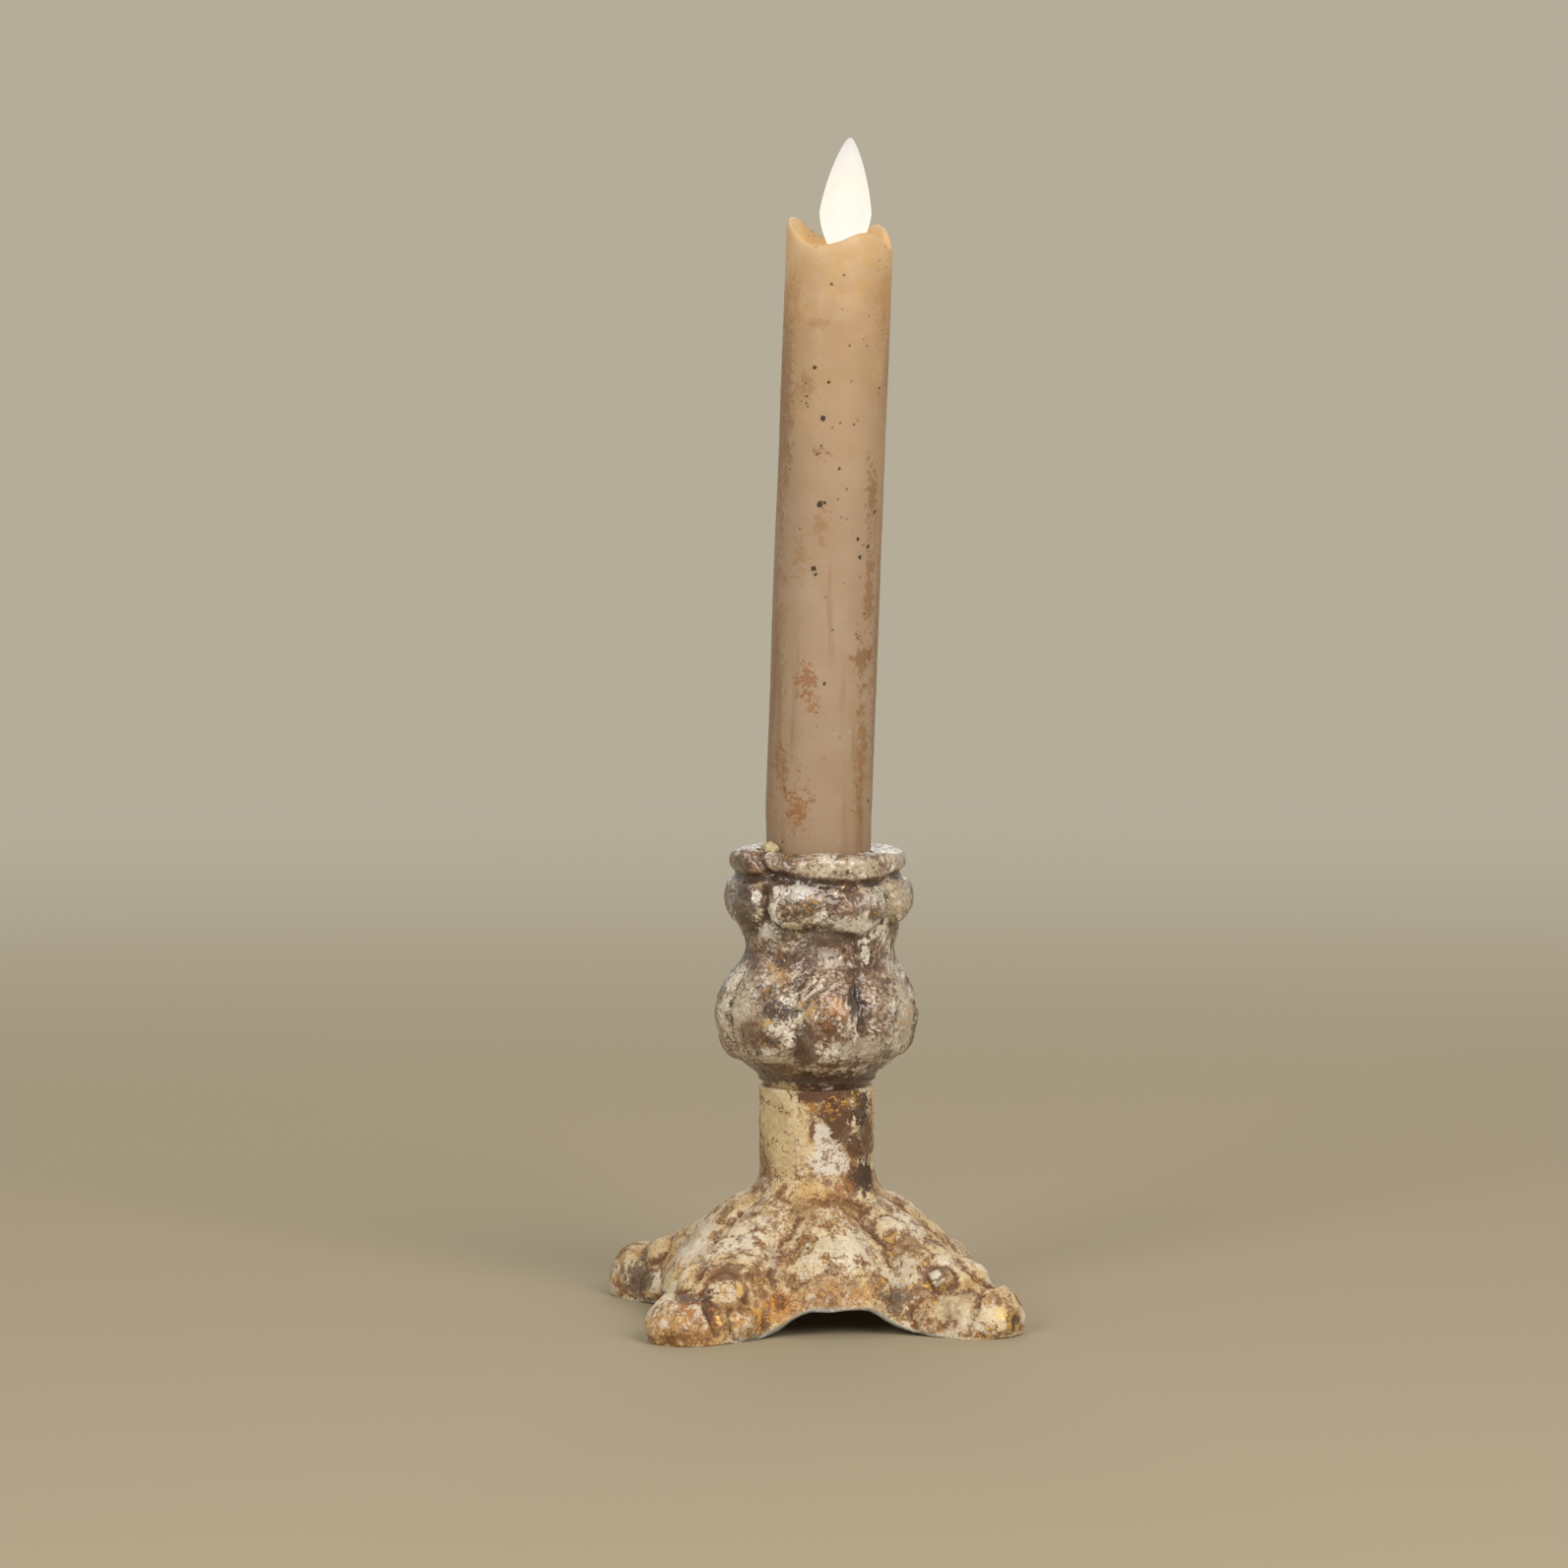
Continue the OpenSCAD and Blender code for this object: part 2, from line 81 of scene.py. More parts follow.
print("camera at", [round(v, 3) for v in camera.location])

# %% [markdown]
# ## Small tools for materials
# Colours are written as the sRGB hex values of a paint chart, and one function turns them to the linear
# values that shaders want. Pattern sizes are in millimetres. One function adds a node, sets it, links it and
# hands back its output, so a material reads as a list of layers.

# %% Colour, size and node helpers
def paint(hex_value):
    """Linear RGBA of an sRGB hex colour such as "c9a06a"."""
    channels = [int(hex_value[i:i + 2], 16) / 255 for i in (0, 2, 4)]
    return tuple(c / 12.92 if c <= 0.04045 else ((c + 0.055) / 1.055) ** 2.4 for c in channels) + (1.0,)


def per_mm(size_mm):
    """Texture scale for a pattern whose features are this many millimetres across."""
    return 1 / (size_mm * MM)


def add_node(tree, kind, inputs=None, out=0, stops=None, **settings):
    """Adds a node, sets and links it, and returns its output. A socket goes by name or by number."""
    node = tree.nodes.new("ShaderNode" + kind)
    for name, value in settings.items():
        setattr(node, name, value)
    for socket, value in (inputs or {}).items():
        if isinstance(value, bpy.types.NodeSocket):
            tree.links.new(value, node.inputs[socket])
        else:
            node.inputs[socket].default_value = value
    if stops:
        elements = node.color_ramp.elements
        while len(elements) < len(stops):
            elements.new(0.5)
        for element, (place, hex_value) in zip(elements, stops):
            element.position, element.color = place, paint(hex_value)
    return node.outputs[out]


def new_material(name, surface):
    """A material with its Principled surface; values that are the same all over go on its own sockets."""
    material = bpy.data.materials.new(name)
    material.use_nodes = True
    shader = material.node_tree.nodes["Principled BSDF"]
    for socket, value in surface.items():
        shader.inputs[socket].default_value = value
    return material, material.node_tree, shader


# %% [markdown]
# ## Small tools for shapes
# Both metal pieces start from a copy of their CAD solid. The copy is merged, because a CAD mesh is loose
# triangles, then given an even skin of small faces by a voxel remesh, and its facets are smoothed. After
# that it is clay: vertices are pushed out and in by formulas of their place, as a sculptor would with a
# brush. Pieces that are turned or drawn on the real object are spun from an outline instead.

# %% Mesh helpers
def only(obj):
    """Deselects everything, then selects one object and makes it active."""
    bpy.ops.object.select_all(action="DESELECT")
    obj.select_set(True)
    bpy.context.view_layer.objects.active = obj


def apply_modifier(obj, kind, **settings):
    only(obj)
    modifier = obj.modifiers.new(kind.lower(), kind)
    for name, value in settings.items():
        setattr(modifier, name, value)
    bpy.ops.object.modifier_apply(modifier=modifier.name)


def clay_copy(nodes, name, voxel_mm, rounds):
    """One merged and evenly remeshed copy of some CAD nodes, with its facets smoothed away."""
    copies = []
    for node in nodes:
        obj = bpy.data.objects.new(name, cad_nodes[node].data.copy())
        bpy.context.scene.collection.objects.link(obj)
        obj.data.materials.clear()
        copies.append(obj)
    only(copies[0])
    for obj in copies:
        obj.select_set(True)
    bpy.ops.object.join()
    obj = bpy.context.active_object
    obj.name = name
    bpy.ops.object.mode_set(mode="EDIT")
    bpy.ops.mesh.select_all(action="SELECT")
    bpy.ops.mesh.remove_doubles(threshold=0.002 * MM)
    bpy.ops.object.mode_set(mode="OBJECT")
    obj.data.remesh_voxel_size = voxel_mm * MM
    obj.data.use_remesh_preserve_volume = True
    bpy.ops.object.voxel_remesh()
    apply_modifier(obj, "SMOOTH", factor=0.5, iterations=rounds)
    return obj


def points_mm(obj):
    points = np.empty(len(obj.data.vertices) * 3)
    obj.data.vertices.foreach_get("co", points)
    return points.reshape(-1, 3) / MM


def normals_of(obj):
    normals = np.empty(len(obj.data.vertices) * 3)
    obj.data.vertex_normals.foreach_get("vector", normals)
    return normals.reshape(-1, 3)


def set_points(obj, points):
    obj.data.vertices.foreach_set("co", (points * MM).ravel())
    obj.data.update()


def lumps(points, size_mm, seed):
    """Smooth noise from about -1 to 1, with lumps of this size. The seed only moves the pattern."""
    shift = Vector((seed * 17.3, seed * 5.1, seed * 11.7))
    return np.array([noise.noise(Vector(p) / size_mm + shift) for p in points])


def cracks(points, size_mm, seed):
    """0 in the cracks between crusts of this size, and 1 on top of them."""
    shift = Vector((seed * 13.1, seed * 7.9, seed * 3.7))
    between = []
    for p in points:
        place = Vector(p) / size_mm + shift
        place += 0.45 * noise.noise_vector(place * 1.4) + 0.2 * noise.noise_vector(place * 3.1)
        near = noise.voronoi(place)[0]
        between.append(near[1] - near[0])
    return rise(np.array(between), 0, 0.2)


def rise(value, low, high):
    """0 below low, 1 above high, and a smooth step between."""
    t = np.clip((value - low) / (high - low), 0, 1)
    return t * t * (3 - 2 * t)


def bell(distance, width):
    return np.exp(-(distance / width) ** 2)


def along(points, path):
    """Distance from each point to a line drawn through a few points."""
    best = np.full(len(points), 1e9)
    for start, end in zip(path[:-1], path[1:]):
        run = end - start
        t = np.clip(((points - start) @ run) / (run @ run), 0, 1)
        best = np.minimum(best, np.linalg.norm(points - start - t[:, None] * run, axis=1))
    return best


def smooth_shading(obj):
    only(obj)
    bpy.ops.object.shade_smooth()


def store(obj, name, values):
    """Keeps a number for each vertex, which the material reads by this name."""
    obj.data.attributes.new(name, "FLOAT", "POINT").data.foreach_set("value", values)


def mark_hollows(obj, rounds, depth_mm):
    """Stores how deep each vertex lies in a hollow, from -1 on a crest to 1 in a crease."""
    even = obj.modifiers.new("even", "SMOOTH")
    even.factor, even.iterations = 0.5, rounds
    smoothed = obj.evaluated_get(bpy.context.evaluated_depsgraph_get())
    flat = np.empty(len(obj.data.vertices) * 3)
    smoothed.data.vertices.foreach_get("co", flat)
    obj.modifiers.remove(even)
    depth = ((flat.reshape(-1, 3) / MM - points_mm(obj)) * normals_of(obj)).sum(1) / depth_mm
    store(obj, "hollow", np.clip(depth, -1, 1))


def finish_piece(obj, body, nodes):
    """Puts a new piece in the place of its CAD nodes."""
    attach(obj, body)
    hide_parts(*nodes)
    faces = sum(len(f.vertices) - 2 for f in obj.data.polygons)
    print(f"{obj.name}: {faces} triangles, replaces {', '.join(nodes)}")


# %% [markdown]
# ## The pressed foot
# One sheet was pressed out into four paws, and its collar is brazed round the stem's tube so well that
# collar and tube look like one piece under the finish. So one clay copy takes the place of both nodes. Each
# paw has a round toe, a knuckle behind it and a small knob at each side, and between two paws a raised panel
# ends in a shallow arch. The sheet is thin, so whatever is pushed out of the outer face is pushed out of the
# inner face too: the push follows one outward direction for both faces.

# %% The foot's clay copy
foot = clay_copy(["foot_base", "stem_tube"], "pressed_foot", 0.46, 5)
foot_points = points_mm(foot)
foot_normals = normals_of(foot)
reach = np.hypot(foot_points[:, 0], foot_points[:, 1])
radial = foot_points * [1, 1, 0] / np.maximum(reach, 1)[:, None]
outward = radial * 0.6 + np.array([0, 0, 0.8])
facing_out = np.sign((foot_normals * outward).sum(1))
push_way = foot_normals * facing_out[:, None]
print("foot vertices:", len(foot_points))

# %% [markdown]
# The four paws are alike but not the same, as on any hand-finished pattern. Each has its own list of knobs:
# how far out, how many degrees off the paw's middle, how high, how wide and how proud. A second list swells
# or shrinks whole toes. Creases are lines drawn through a few points: round the back of each toe, and down
# both sides of each panel.

# %% Knobs, toes and creases of the paws
PAW_TURNS = {"front_left": -135, "front_right": -45, "back_right": 45, "back_left": 135}
PAW_KNOBS = {
    "front_left": [(39.8, 9.0, 10.6, 3.4, 1.5), (38.6, 15.5, 4.0, 3.2, 1.1), (38.5, -9, 12.0, 3.4, 1.2),
                   (37.5, -17, 4.0, 2.4, 1.0), (28.4, 8, 18.1, 3.2, 0.5), (31.0, -5, 18.0, 3.2, 0.6)],
    "front_right": [(37.4, -10.2, 11.9, 2.2, 1.6), (38.0, -17, 4.6, 2.8, 0.9), (38.6, 7, 12.2, 3.4, 1.2),
                    (37.5, 16, 4.0, 2.5, 1.0), (30.7, -11.6, 15.8, 2.4, 0.8), (23.0, -11.3, 21.1, 2.6, 0.7),
                    (43.5, -2, 10.4, 2.0, 0.5)],
    "back_right": [(38.6, 9.0, 11.6, 3.2, 1.4), (37.5, 16, 4.0, 2.4, 1.2), (37.6, -10, 12.0, 3.0, 1.2),
                   (38.0, -16.5, 3.9, 2.4, 0.9), (30.0, 6, 17.0, 2.6, 0.8)],
    "back_left": [(38.2, -9.0, 11.6, 3.2, 1.5), (37.6, -16, 4.2, 2.6, 1.2), (38.4, 9, 12.0, 3.0, 1.2),
                  (37.5, 17, 4.0, 2.4, 0.9), (31.0, -7, 17.0, 2.8, 0.8)],
}
TOE_SWELLS = {
    "front_left": [(47.5, 0, 11.5, 5.5, -1.1), (49.5, -6, 6.0, 4.0, 0.5)],
    "front_right": [(47.0, 0, 11.0, 5.0, -0.8)],
    "back_right": [(47.0, 0, 10.0, 5.5, 0.6)],
    "back_left": [(46.5, 0, 10.0, 6.0, 1.4)],
}
TOE_CREASE = [(39.5, -15.5, 8.5), (42.4, -9, 10.4), (43.4, -2, 11.0), (44.4, 3, 10.6), (46.4, 7.0, 9.7),
              (46.6, 10.2, 4.0), (46.0, 12.0, 1.0)]
PANEL_CREASE = [(18.5, 24, 22.5), (24.6, 18.5, 17.3), (29.3, 18.5, 12.4), (31.2, 22.8, 7.4)]


def on_paw(turn, place):
    """A place given as (out, degrees off the paw's middle, up), turned to a point in mm."""
    a = math.radians(turn + place[1])
    return np.array([place[0] * math.cos(a), place[0] * math.sin(a), place[2]])


push = np.zeros(len(foot_points))
for paw, turn in PAW_TURNS.items():
    for *place, wide, proud in PAW_KNOBS[paw]:
        distance = np.linalg.norm(foot_points - on_paw(turn, place), axis=1)
        push += proud * bell(distance, wide) - 0.45 * proud * bell(distance - 1.45 * wide, 0.3 * wide)
    for *place, wide, proud in TOE_SWELLS[paw]:
        push += proud * bell(np.linalg.norm(foot_points - on_paw(turn, place), axis=1), wide)
    side = -1 if paw in ("front_right", "back_left") else 1
    crease = [on_paw(turn, (out_mm, side * off, up_mm)) for out_mm, off, up_mm in TOE_CREASE]
    push -= 1.0 * bell(along(foot_points, crease), 1.0)
    for side in (-1, 1):
        crease = [on_paw(turn, (out_mm, side * off, up_mm)) for out_mm, off, up_mm in PANEL_CREASE]
        push -= 0.8 * bell(along(foot_points, crease), 1.3)
print("deepest crease and proudest knob, mm:", round(push.min(), 2), round(push.max(), 2))

# %% [markdown]
# Then the skin gets its unevenness: broad dents where the sheet was pressed, faint crusts of thick old finish
# with cracks between them, and grit. The crusts and the grit are on the outer face only. The stem stays
# nearly true, as the photo shows.

# %% Dents, crusts and grit on the foot
below_stem = rise(32 - foot_points[:, 2], -2, 8)
outer = facing_out > 0
push += (0.12 + 0.5 * below_stem) * lumps(foot_points, 8, 1)
push += (0.07 + 0.2 * below_stem) * lumps(foot_points, 3.4, 2) * np.where(outer, 1, 0.3)
push += (0.04 + 0.09 * below_stem) * (cracks(foot_points, 4.2, 3) - 0.8) * outer
push += 0.09 * lumps(foot_points, 1.5, 4) * outer + 0.05 * lumps(foot_points, 0.8, 5) * outer
inside_stem = (reach < 11.2) & (foot_points[:, 2] > 24)
push[inside_stem] = 0
foot_points += push[:, None] * push_way
shorter = 1.6 * rise(reach, 43, 53) * bell(np.degrees(np.arctan2(foot_points[:, 1], foot_points[:, 0])) + 45, 17)
foot_points[:, :2] *= (1 - shorter / np.maximum(reach, 1))[:, None]      # the front right toe is shorter
low, high = (np.array(v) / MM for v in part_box("foot_base"))
high[2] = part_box("stem_tube")[1].z / MM
foot_points = np.clip(foot_points, low, high)
set_points(foot, foot_points)
smooth_shading(foot)

# %% [markdown]
# The finish follows the relief, so the relief is stored on the mesh for the material to read: how deep a
# point lies in a hollow, and how near it is to the cut edge of the sheet, where the finish is rubbed down to
# bare steel. Flat stretches then give up some of their triangles.

# %% Relief and edge, stored for the finish
mark_hollows(foot, 30, 0.45)
off_paw = np.abs((np.degrees(np.arctan2(foot_points[:, 1], foot_points[:, 0])) % 90) - 45)
sheet_edge = 5.5 * rise(off_paw, 15, 36)          # height of the cut edge above the table
near_edge = (1 - rise(foot_points[:, 2] - sheet_edge, 0.35, 1.1)) * (reach > 28) * rise(off_paw, 11, 17)
store(foot, "cut_edge", near_edge)
apply_modifier(foot, "DECIMATE", ratio=0.7)
set_points(foot, np.clip(points_mm(foot), low, high))
finish_piece(foot, "holder", ["foot_base", "stem_tube"])

# %% [markdown]
# ## The cast socket piece
# It is cast, and its relief is soft and lively: petals climb the bulb, fat swags hang round the cup, and a
# thick rolled rim ends in a twist at the left. The relief is a function of the direction round the piece and
# of the height, so it is written as one: each swag and petal is a mask, and the grooves between them are
# narrow bells. The bore and the tapped hole stay true, because the candle and the stud fit them.

# %% The socket piece's clay copy
SOCKET_FOOT = 48.5
BORE_R = 11.8
casting = clay_copy(["socket_baluster"], "cast_socket", 0.36, 5)
cast = points_mm(casting)
cast_normals = normals_of(casting)
turn = np.degrees(np.arctan2(cast[:, 1], cast[:, 0]))
height = cast[:, 2] - SOCKET_FOOT
radius = np.hypot(cast[:, 0], cast[:, 1])
from_axis = (turn + 45) % 90 - 45                 # degrees from the middle of a swag or a narrow petal
from_diagonal = turn % 90 - 45                    # degrees from the middle of a broad petal
arc = np.radians(from_axis) * 19                  # the same, in mm round the piece
wobble = lumps(cast, 6, 4)
from_left = (turn + 368.5) % 360 - 180            # degrees from the photographed left side
side_calm = 0.35 + 0.65 * np.abs(np.sin(np.radians(turn)))
skin = (radius > BORE_R + 0.9) & (height > 0.6)
print("socket vertices:", len(cast))

# %% [markdown]
# A swag is fat in its middle. Its upper edge runs level below the rim, but its lower edge waves: it hangs
# lowest just right of its middle and ends high at its right. Two bulges and a hollow between them make it
# look draped, and a round lobe fills its left end.

# %% Swags round the cup
SWAG_EDGE = [(-45, 38.0), (-38, 35.6), (-32, 34.5), (-20, 34.7), (-7, 35.3), (6, 34.0), (15, 33.2), (23, 32.8),
             (33, 34.0), (40, 35.6), (45, 38.0)]
lower_edge = np.interp(from_axis, *zip(*SWAG_EDGE)) + 0.4 * wobble
below_edge = lower_edge - height
relief = 0.4 * rise(-below_edge, -1.0, 1.2) * rise(44 - height, 0, 1.6)
relief -= 0.85 * bell(below_edge - 1.2, 1.3) * rise(45 - np.abs(from_axis), 2, 9)
relief -= 0.9 * bell(np.abs(from_axis) - 45, 5.0) * rise(height, 33.5, 36) * rise(44 - height, 0, 1.5)
for off, up_mm, wide, proud in [(27, 40.6, 3.2, 0.55), (-16, 41.0, 3.4, 0.5), (16, 41.6, 1.9, -0.8),
                                (8, 38.8, 1.7, -0.35), (-38, 38.2, 2.6, 0.2), (38, 38.4, 2.8, 0.2)]:
    relief += proud * bell(np.hypot(arc - math.radians(off) * 19, height - up_mm), wide)

# %% [markdown]
# Broad petals stand on the diagonals and narrow ones between them, in pairs. The two petals of a pair share
# one thick lip at their foot, with a recess below it, and a short ragged cleft parts them higher up. A soft
# channel runs down between one pair and the next, and beside it the petals are feathered with slanting
# ridges. At the left and right sides of the piece the relief is flatter.

# %% Petals up the bulb
broad_foot = 5.6 + 3.2 * np.clip(from_diagonal / 25.5, 0, 1) ** 2
narrow_foot = 5.6 + 3.6 * np.clip(-from_axis / 19.5, 0, 1) ** 2
petal_foot = np.where(np.abs(from_diagonal) < 25.5, broad_foot, narrow_foot) + 0.4 * wobble
relief -= 0.65 * rise(petal_foot + 0.9 - height, 0, 1.5) * (height < 20)
relief += 0.45 * bell(height - petal_foot - 2.4, 1.9)
ragged = 3.0 * lumps(cast, 2.6, 14)
cleft = bell(from_axis - 19 + ragged, 2.4) * bell(height - 18.5 + ragged, 5.2)
channel = bell(from_axis + 16, 5.0) * bell(height - 10, 8)
feathers = np.sin((height - arc + 0.35 * ragged) * math.tau / 2.7) * bell(from_axis + 15, 12)
feathers *= bell(height - 22.5, 5) * (0.6 + 0.5 * lumps(cast, 4, 15))
relief += side_calm * (-1.0 * cleft - 0.6 * channel + 0.26 * feathers)
relief -= 1.5 * bell(from_left, 34) * bell(height - 30.0, 4)       # the waist is drawn in at the left
relief -= 0.9 * bell(from_left, 34) * bell(height - 39.5, 4.5)     # and the cup above it a little

# %% [markdown]
# The rim is a thick roll that was never quite level: its lower edge hangs low at the front, and at the left
# one end is folded over the other. That fold is the most telling mark on the piece.

# %% Rolled rim with its fold
ROLL_EDGE = [(-180, 45.4), (-150, 45.0), (-128, 46.0), (-98, 44.3), (-76, 43.6), (-52, 44.4), (-24, 45.6),
             (20, 44.8), (70, 44.0), (110, 45.0), (150, 44.6), (180, 45.4)]
above_roll = height - np.interp(turn, *zip(*ROLL_EDGE))
relief += 0.55 * rise(above_roll, -0.2, 1.2) * rise(50.5 - height, 0, 2.5) * bell(turn + 76, 70)
relief -= 0.85 * bell(above_roll + 0.8, 1.0)
fold = np.hypot(np.radians(turn + 151) * 17.6, height - 46.2)
crossing = np.abs(np.radians(turn + 137) * 17.6 + 0.8 * (height - 47.5))
on_rim = rise(height, 43.6, 45)
relief += on_rim * (0.75 * bell(fold, 2.8) - 0.85 * bell(crossing, 1.1) * (np.abs(turn + 137) < 25))
relief += 0.8 * bell(np.radians(turn + 160) * 17.6, 5.5) * rise(height, 46.5, 49)
relief += 0.28 * lumps(cast, 8, 5) * on_rim

# %% Unevenness, and putting the relief on
relief += 0.28 * lumps(cast, 5.5, 6) + 0.15 * lumps(cast, 2.4, 7) + 0.07 * lumps(cast, 1.1, 8)
relief += 0.16 * (cracks(cast, 2.6, 9) - 0.8)
relief *= np.where(skin, 1, 0) * rise(height, 0.6, 2.5)
cast += relief[:, None] * cast_normals
tucked = 0.4 * (radius > 11) * (1 - rise(height, 2, 4.5))
cast[:, :2] *= (1 - tucked / np.maximum(radius, 1))[:, None]        # the foot of the casting meets the stem flush
set_points(casting, cast)
smooth_shading(casting)
mark_hollows(casting, 24, 0.45)
apply_modifier(casting, "DECIMATE", ratio=0.9)
finish_piece(casting, "holder", ["socket_baluster"])

# %% [markdown]
# ## The wax candle
# A battery candle's skin is real wax, dipped over a plastic tube. Its rim is a soft wave, high at the left
# and at the back right, as if it had burned, and it surrounds a recess in which the flame stands. The wax is
# spun from its outline in the candle's own upright frame, the rim is raised and lowered by the same waves
# as the CAD solid's, and the whole is then tilted into place, so the object itself stays at the origin.

# %% The candle's place
LEAN = math.radians(2.1)
CANDLE_SEAT = Vector((-0.375, 0, 77.65)) * MM
on_candle = Matrix.Translation(CANDLE_SEAT) @ Matrix.Rotation(LEAN, 4, "Y")
CANDLE_R, MOUTH_R, RECESS_R, TUBE_R = 11.0, 9.6, 8.6, 7.4
RIM_MEAN, RECESS_FLOOR, WAX_FOOT = 148.0, 143.0, 2.2
RIM_WAVES = [(1, 1.43, 124.3), (2, 0.84, -25.3), (3, 1.67, 40.6), (4, 0.47, 33.5)]


def rim_height(turn_deg):
    return RIM_MEAN + sum(high * np.cos(np.radians(count * (turn_deg - crest)))
                          for count, high, crest in RIM_WAVES)


def spun(name, outline, steps):
    """A solid of revolution round Z. One vertex is extruded along the outline, and the line is then spun."""
    bpy.ops.object.select_all(action="DESELECT")
    bpy.ops.mesh.primitive_plane_add(size=MM, location=(0, 0, 0))
    obj = bpy.context.active_object
    obj.name = name
    bpy.ops.object.mode_set(mode="EDIT")
    bpy.ops.mesh.select_all(action="SELECT")
    bpy.ops.mesh.merge(type="CENTER")
    radius_now, height_now = outline[0]
    bpy.ops.transform.translate(value=(radius_now * MM, 0, height_now * MM))
    for r, h in outline[1:]:
        step = ((r - radius_now) * MM, 0, (h - height_now) * MM)
        bpy.ops.mesh.extrude_region_move(TRANSFORM_OT_translate={"value": step})
        radius_now, height_now = r, h
    bpy.ops.mesh.select_all(action="SELECT")
    bpy.ops.mesh.spin(steps=steps, angle=math.tau, center=(0, 0, 0), axis=(0, 0, 1))
    bpy.ops.mesh.select_all(action="SELECT")
    bpy.ops.mesh.remove_doubles(threshold=0.001 * MM)
    bpy.ops.mesh.normals_make_consistent(inside=False)
    bpy.ops.object.mode_set(mode="OBJECT")
    return obj


# %% Wax skin
outside = [(CANDLE_R, h) for h in np.linspace(WAX_FOOT + 0.8, RIM_MEAN - 4, 60)]
rim_roll = [(CANDLE_R, RIM_MEAN - 2.6), (CANDLE_R - 0.05, RIM_MEAN - 1.3), (CANDLE_R - 0.22, RIM_MEAN - 0.5),
            (CANDLE_R - 0.55, RIM_MEAN - 0.05), (CANDLE_R - 0.95, RIM_MEAN - 0.12),
            (MOUTH_R, RIM_MEAN - 0.75), (MOUTH_R - 0.25, RIM_MEAN - 2)]
recess = [(RECESS_R + 0.45, 144.8), (RECESS_R + 0.15, RECESS_FLOOR + 0.5), (RECESS_R - 0.25, RECESS_FLOOR),
          (TUBE_R, RECESS_FLOOR)]
tube_side = [(TUBE_R, h) for h in np.linspace(RECESS_FLOOR - 5, WAX_FOOT, 12)]
wax_outline = [(CANDLE_R - 0.7, WAX_FOOT), (CANDLE_R - 0.2, WAX_FOOT + 0.2)] + outside + rim_roll + recess
wax_outline += tube_side + [(CANDLE_R - 0.7, WAX_FOOT)]
wax = spun("wax_skin", wax_outline, 144)
wax_points = points_mm(wax)
wax_turn = np.degrees(np.arctan2(wax_points[:, 1], wax_points[:, 0]))
wax_reach = np.hypot(wax_points[:, 0], wax_points[:, 1])
still = np.where(wax_reach > MOUTH_R + 0.3, 128, RECESS_FLOOR + 0.3)     # below this the rim's waves end
lifted = np.clip((wax_points[:, 2] - still) / (RIM_MEAN - still), 0, None)
wax_points[:, 2] += (rim_height(wax_turn) + 1.0 * bell(wax_turn - 20, 32) - RIM_MEAN) * lifted
skin_push = 0.16 * lumps(wax_points * [1, 1, 0.35], 9, 11) + 0.05 * lumps(wax_points, 2.6, 12) - 0.12
thicker = (0.2 - 0.32 * np.cos(np.radians(wax_turn))) * rise(wax_points[:, 2], 19, 30)    # at the left, as dipped
skin_push += thicker * (wax_reach > MOUTH_R)
soft = (wax_reach > MOUTH_R - 0.8) * rise(wax_points[:, 2], WAX_FOOT, WAX_FOOT + 6)
wax_points[:, :2] *= (1 + soft * skin_push / np.maximum(wax_reach, 1))[:, None]
wax_points[:, 2] += 0.25 * lumps(wax_points, 4, 13) * rise(lifted, 0.4, 1)
set_points(wax, wax_points)
wax.data.transform(on_candle)
smooth_shading(wax)
finish_piece(wax, "candle", ["wax_shell"])

# %% [markdown]
# ## The flame
# The flame is one thin moulded shell of frosted plastic: a fat drop on a short neck, with a tail below its
# wire. Here its outline is spun with many more points than the CAD solid has, so that no facet shows in the
# light. The lamp beside its neck makes all of it glow, most of all low down.

# %% Flame shell
FLAME_TILT = math.radians(1.6)
PIVOT = Vector((0.4, 0, 140)) * MM
on_flame = on_candle @ Matrix.Translation(PIVOT) @ Matrix.Rotation(FLAME_TILT, 4, "Y")
FLAME_R, BELLY, TIP, NECK_R, FLAME_FOOT = 5.35, 12.5, 27.9, 1.6, 3.0
TAIL_R, TAIL = 0.9, 13.0

swell = [(NECK_R + (FLAME_R - NECK_R) * (1 - (1 - k / 24) ** 1.8), BELLY - (BELLY - FLAME_FOOT) * (1 - k / 24))
         for k in range(25)]
climb = [math.sin(math.pi / 2 * k / 40) for k in range(1, 40)]           # closer together near the blunt tip
taper = [(FLAME_R * (1.02 - t ** 1.3) ** 0.7 * 0.986, BELLY + (TIP - BELLY) * t) for t in climb]
flame = spun("flame_drop", [(0, -TAIL), (TAIL_R, -TAIL), (TAIL_R, -2.6), (NECK_R - 0.1, -1.6), (NECK_R, -1.2)]
             + swell + taper + [(0, TIP)], 72)
flame.data.transform(on_flame)
smooth_shading(flame)
finish_piece(flame, "flame_swing", ["flame"])

# %% [markdown]
# ## The lump of fixing wax
# A pinch of pale wax was pressed between the candle and the rim to stop it from rocking. It starts as an
# icosphere, is flattened against the candle, and gets a thumb's dents.

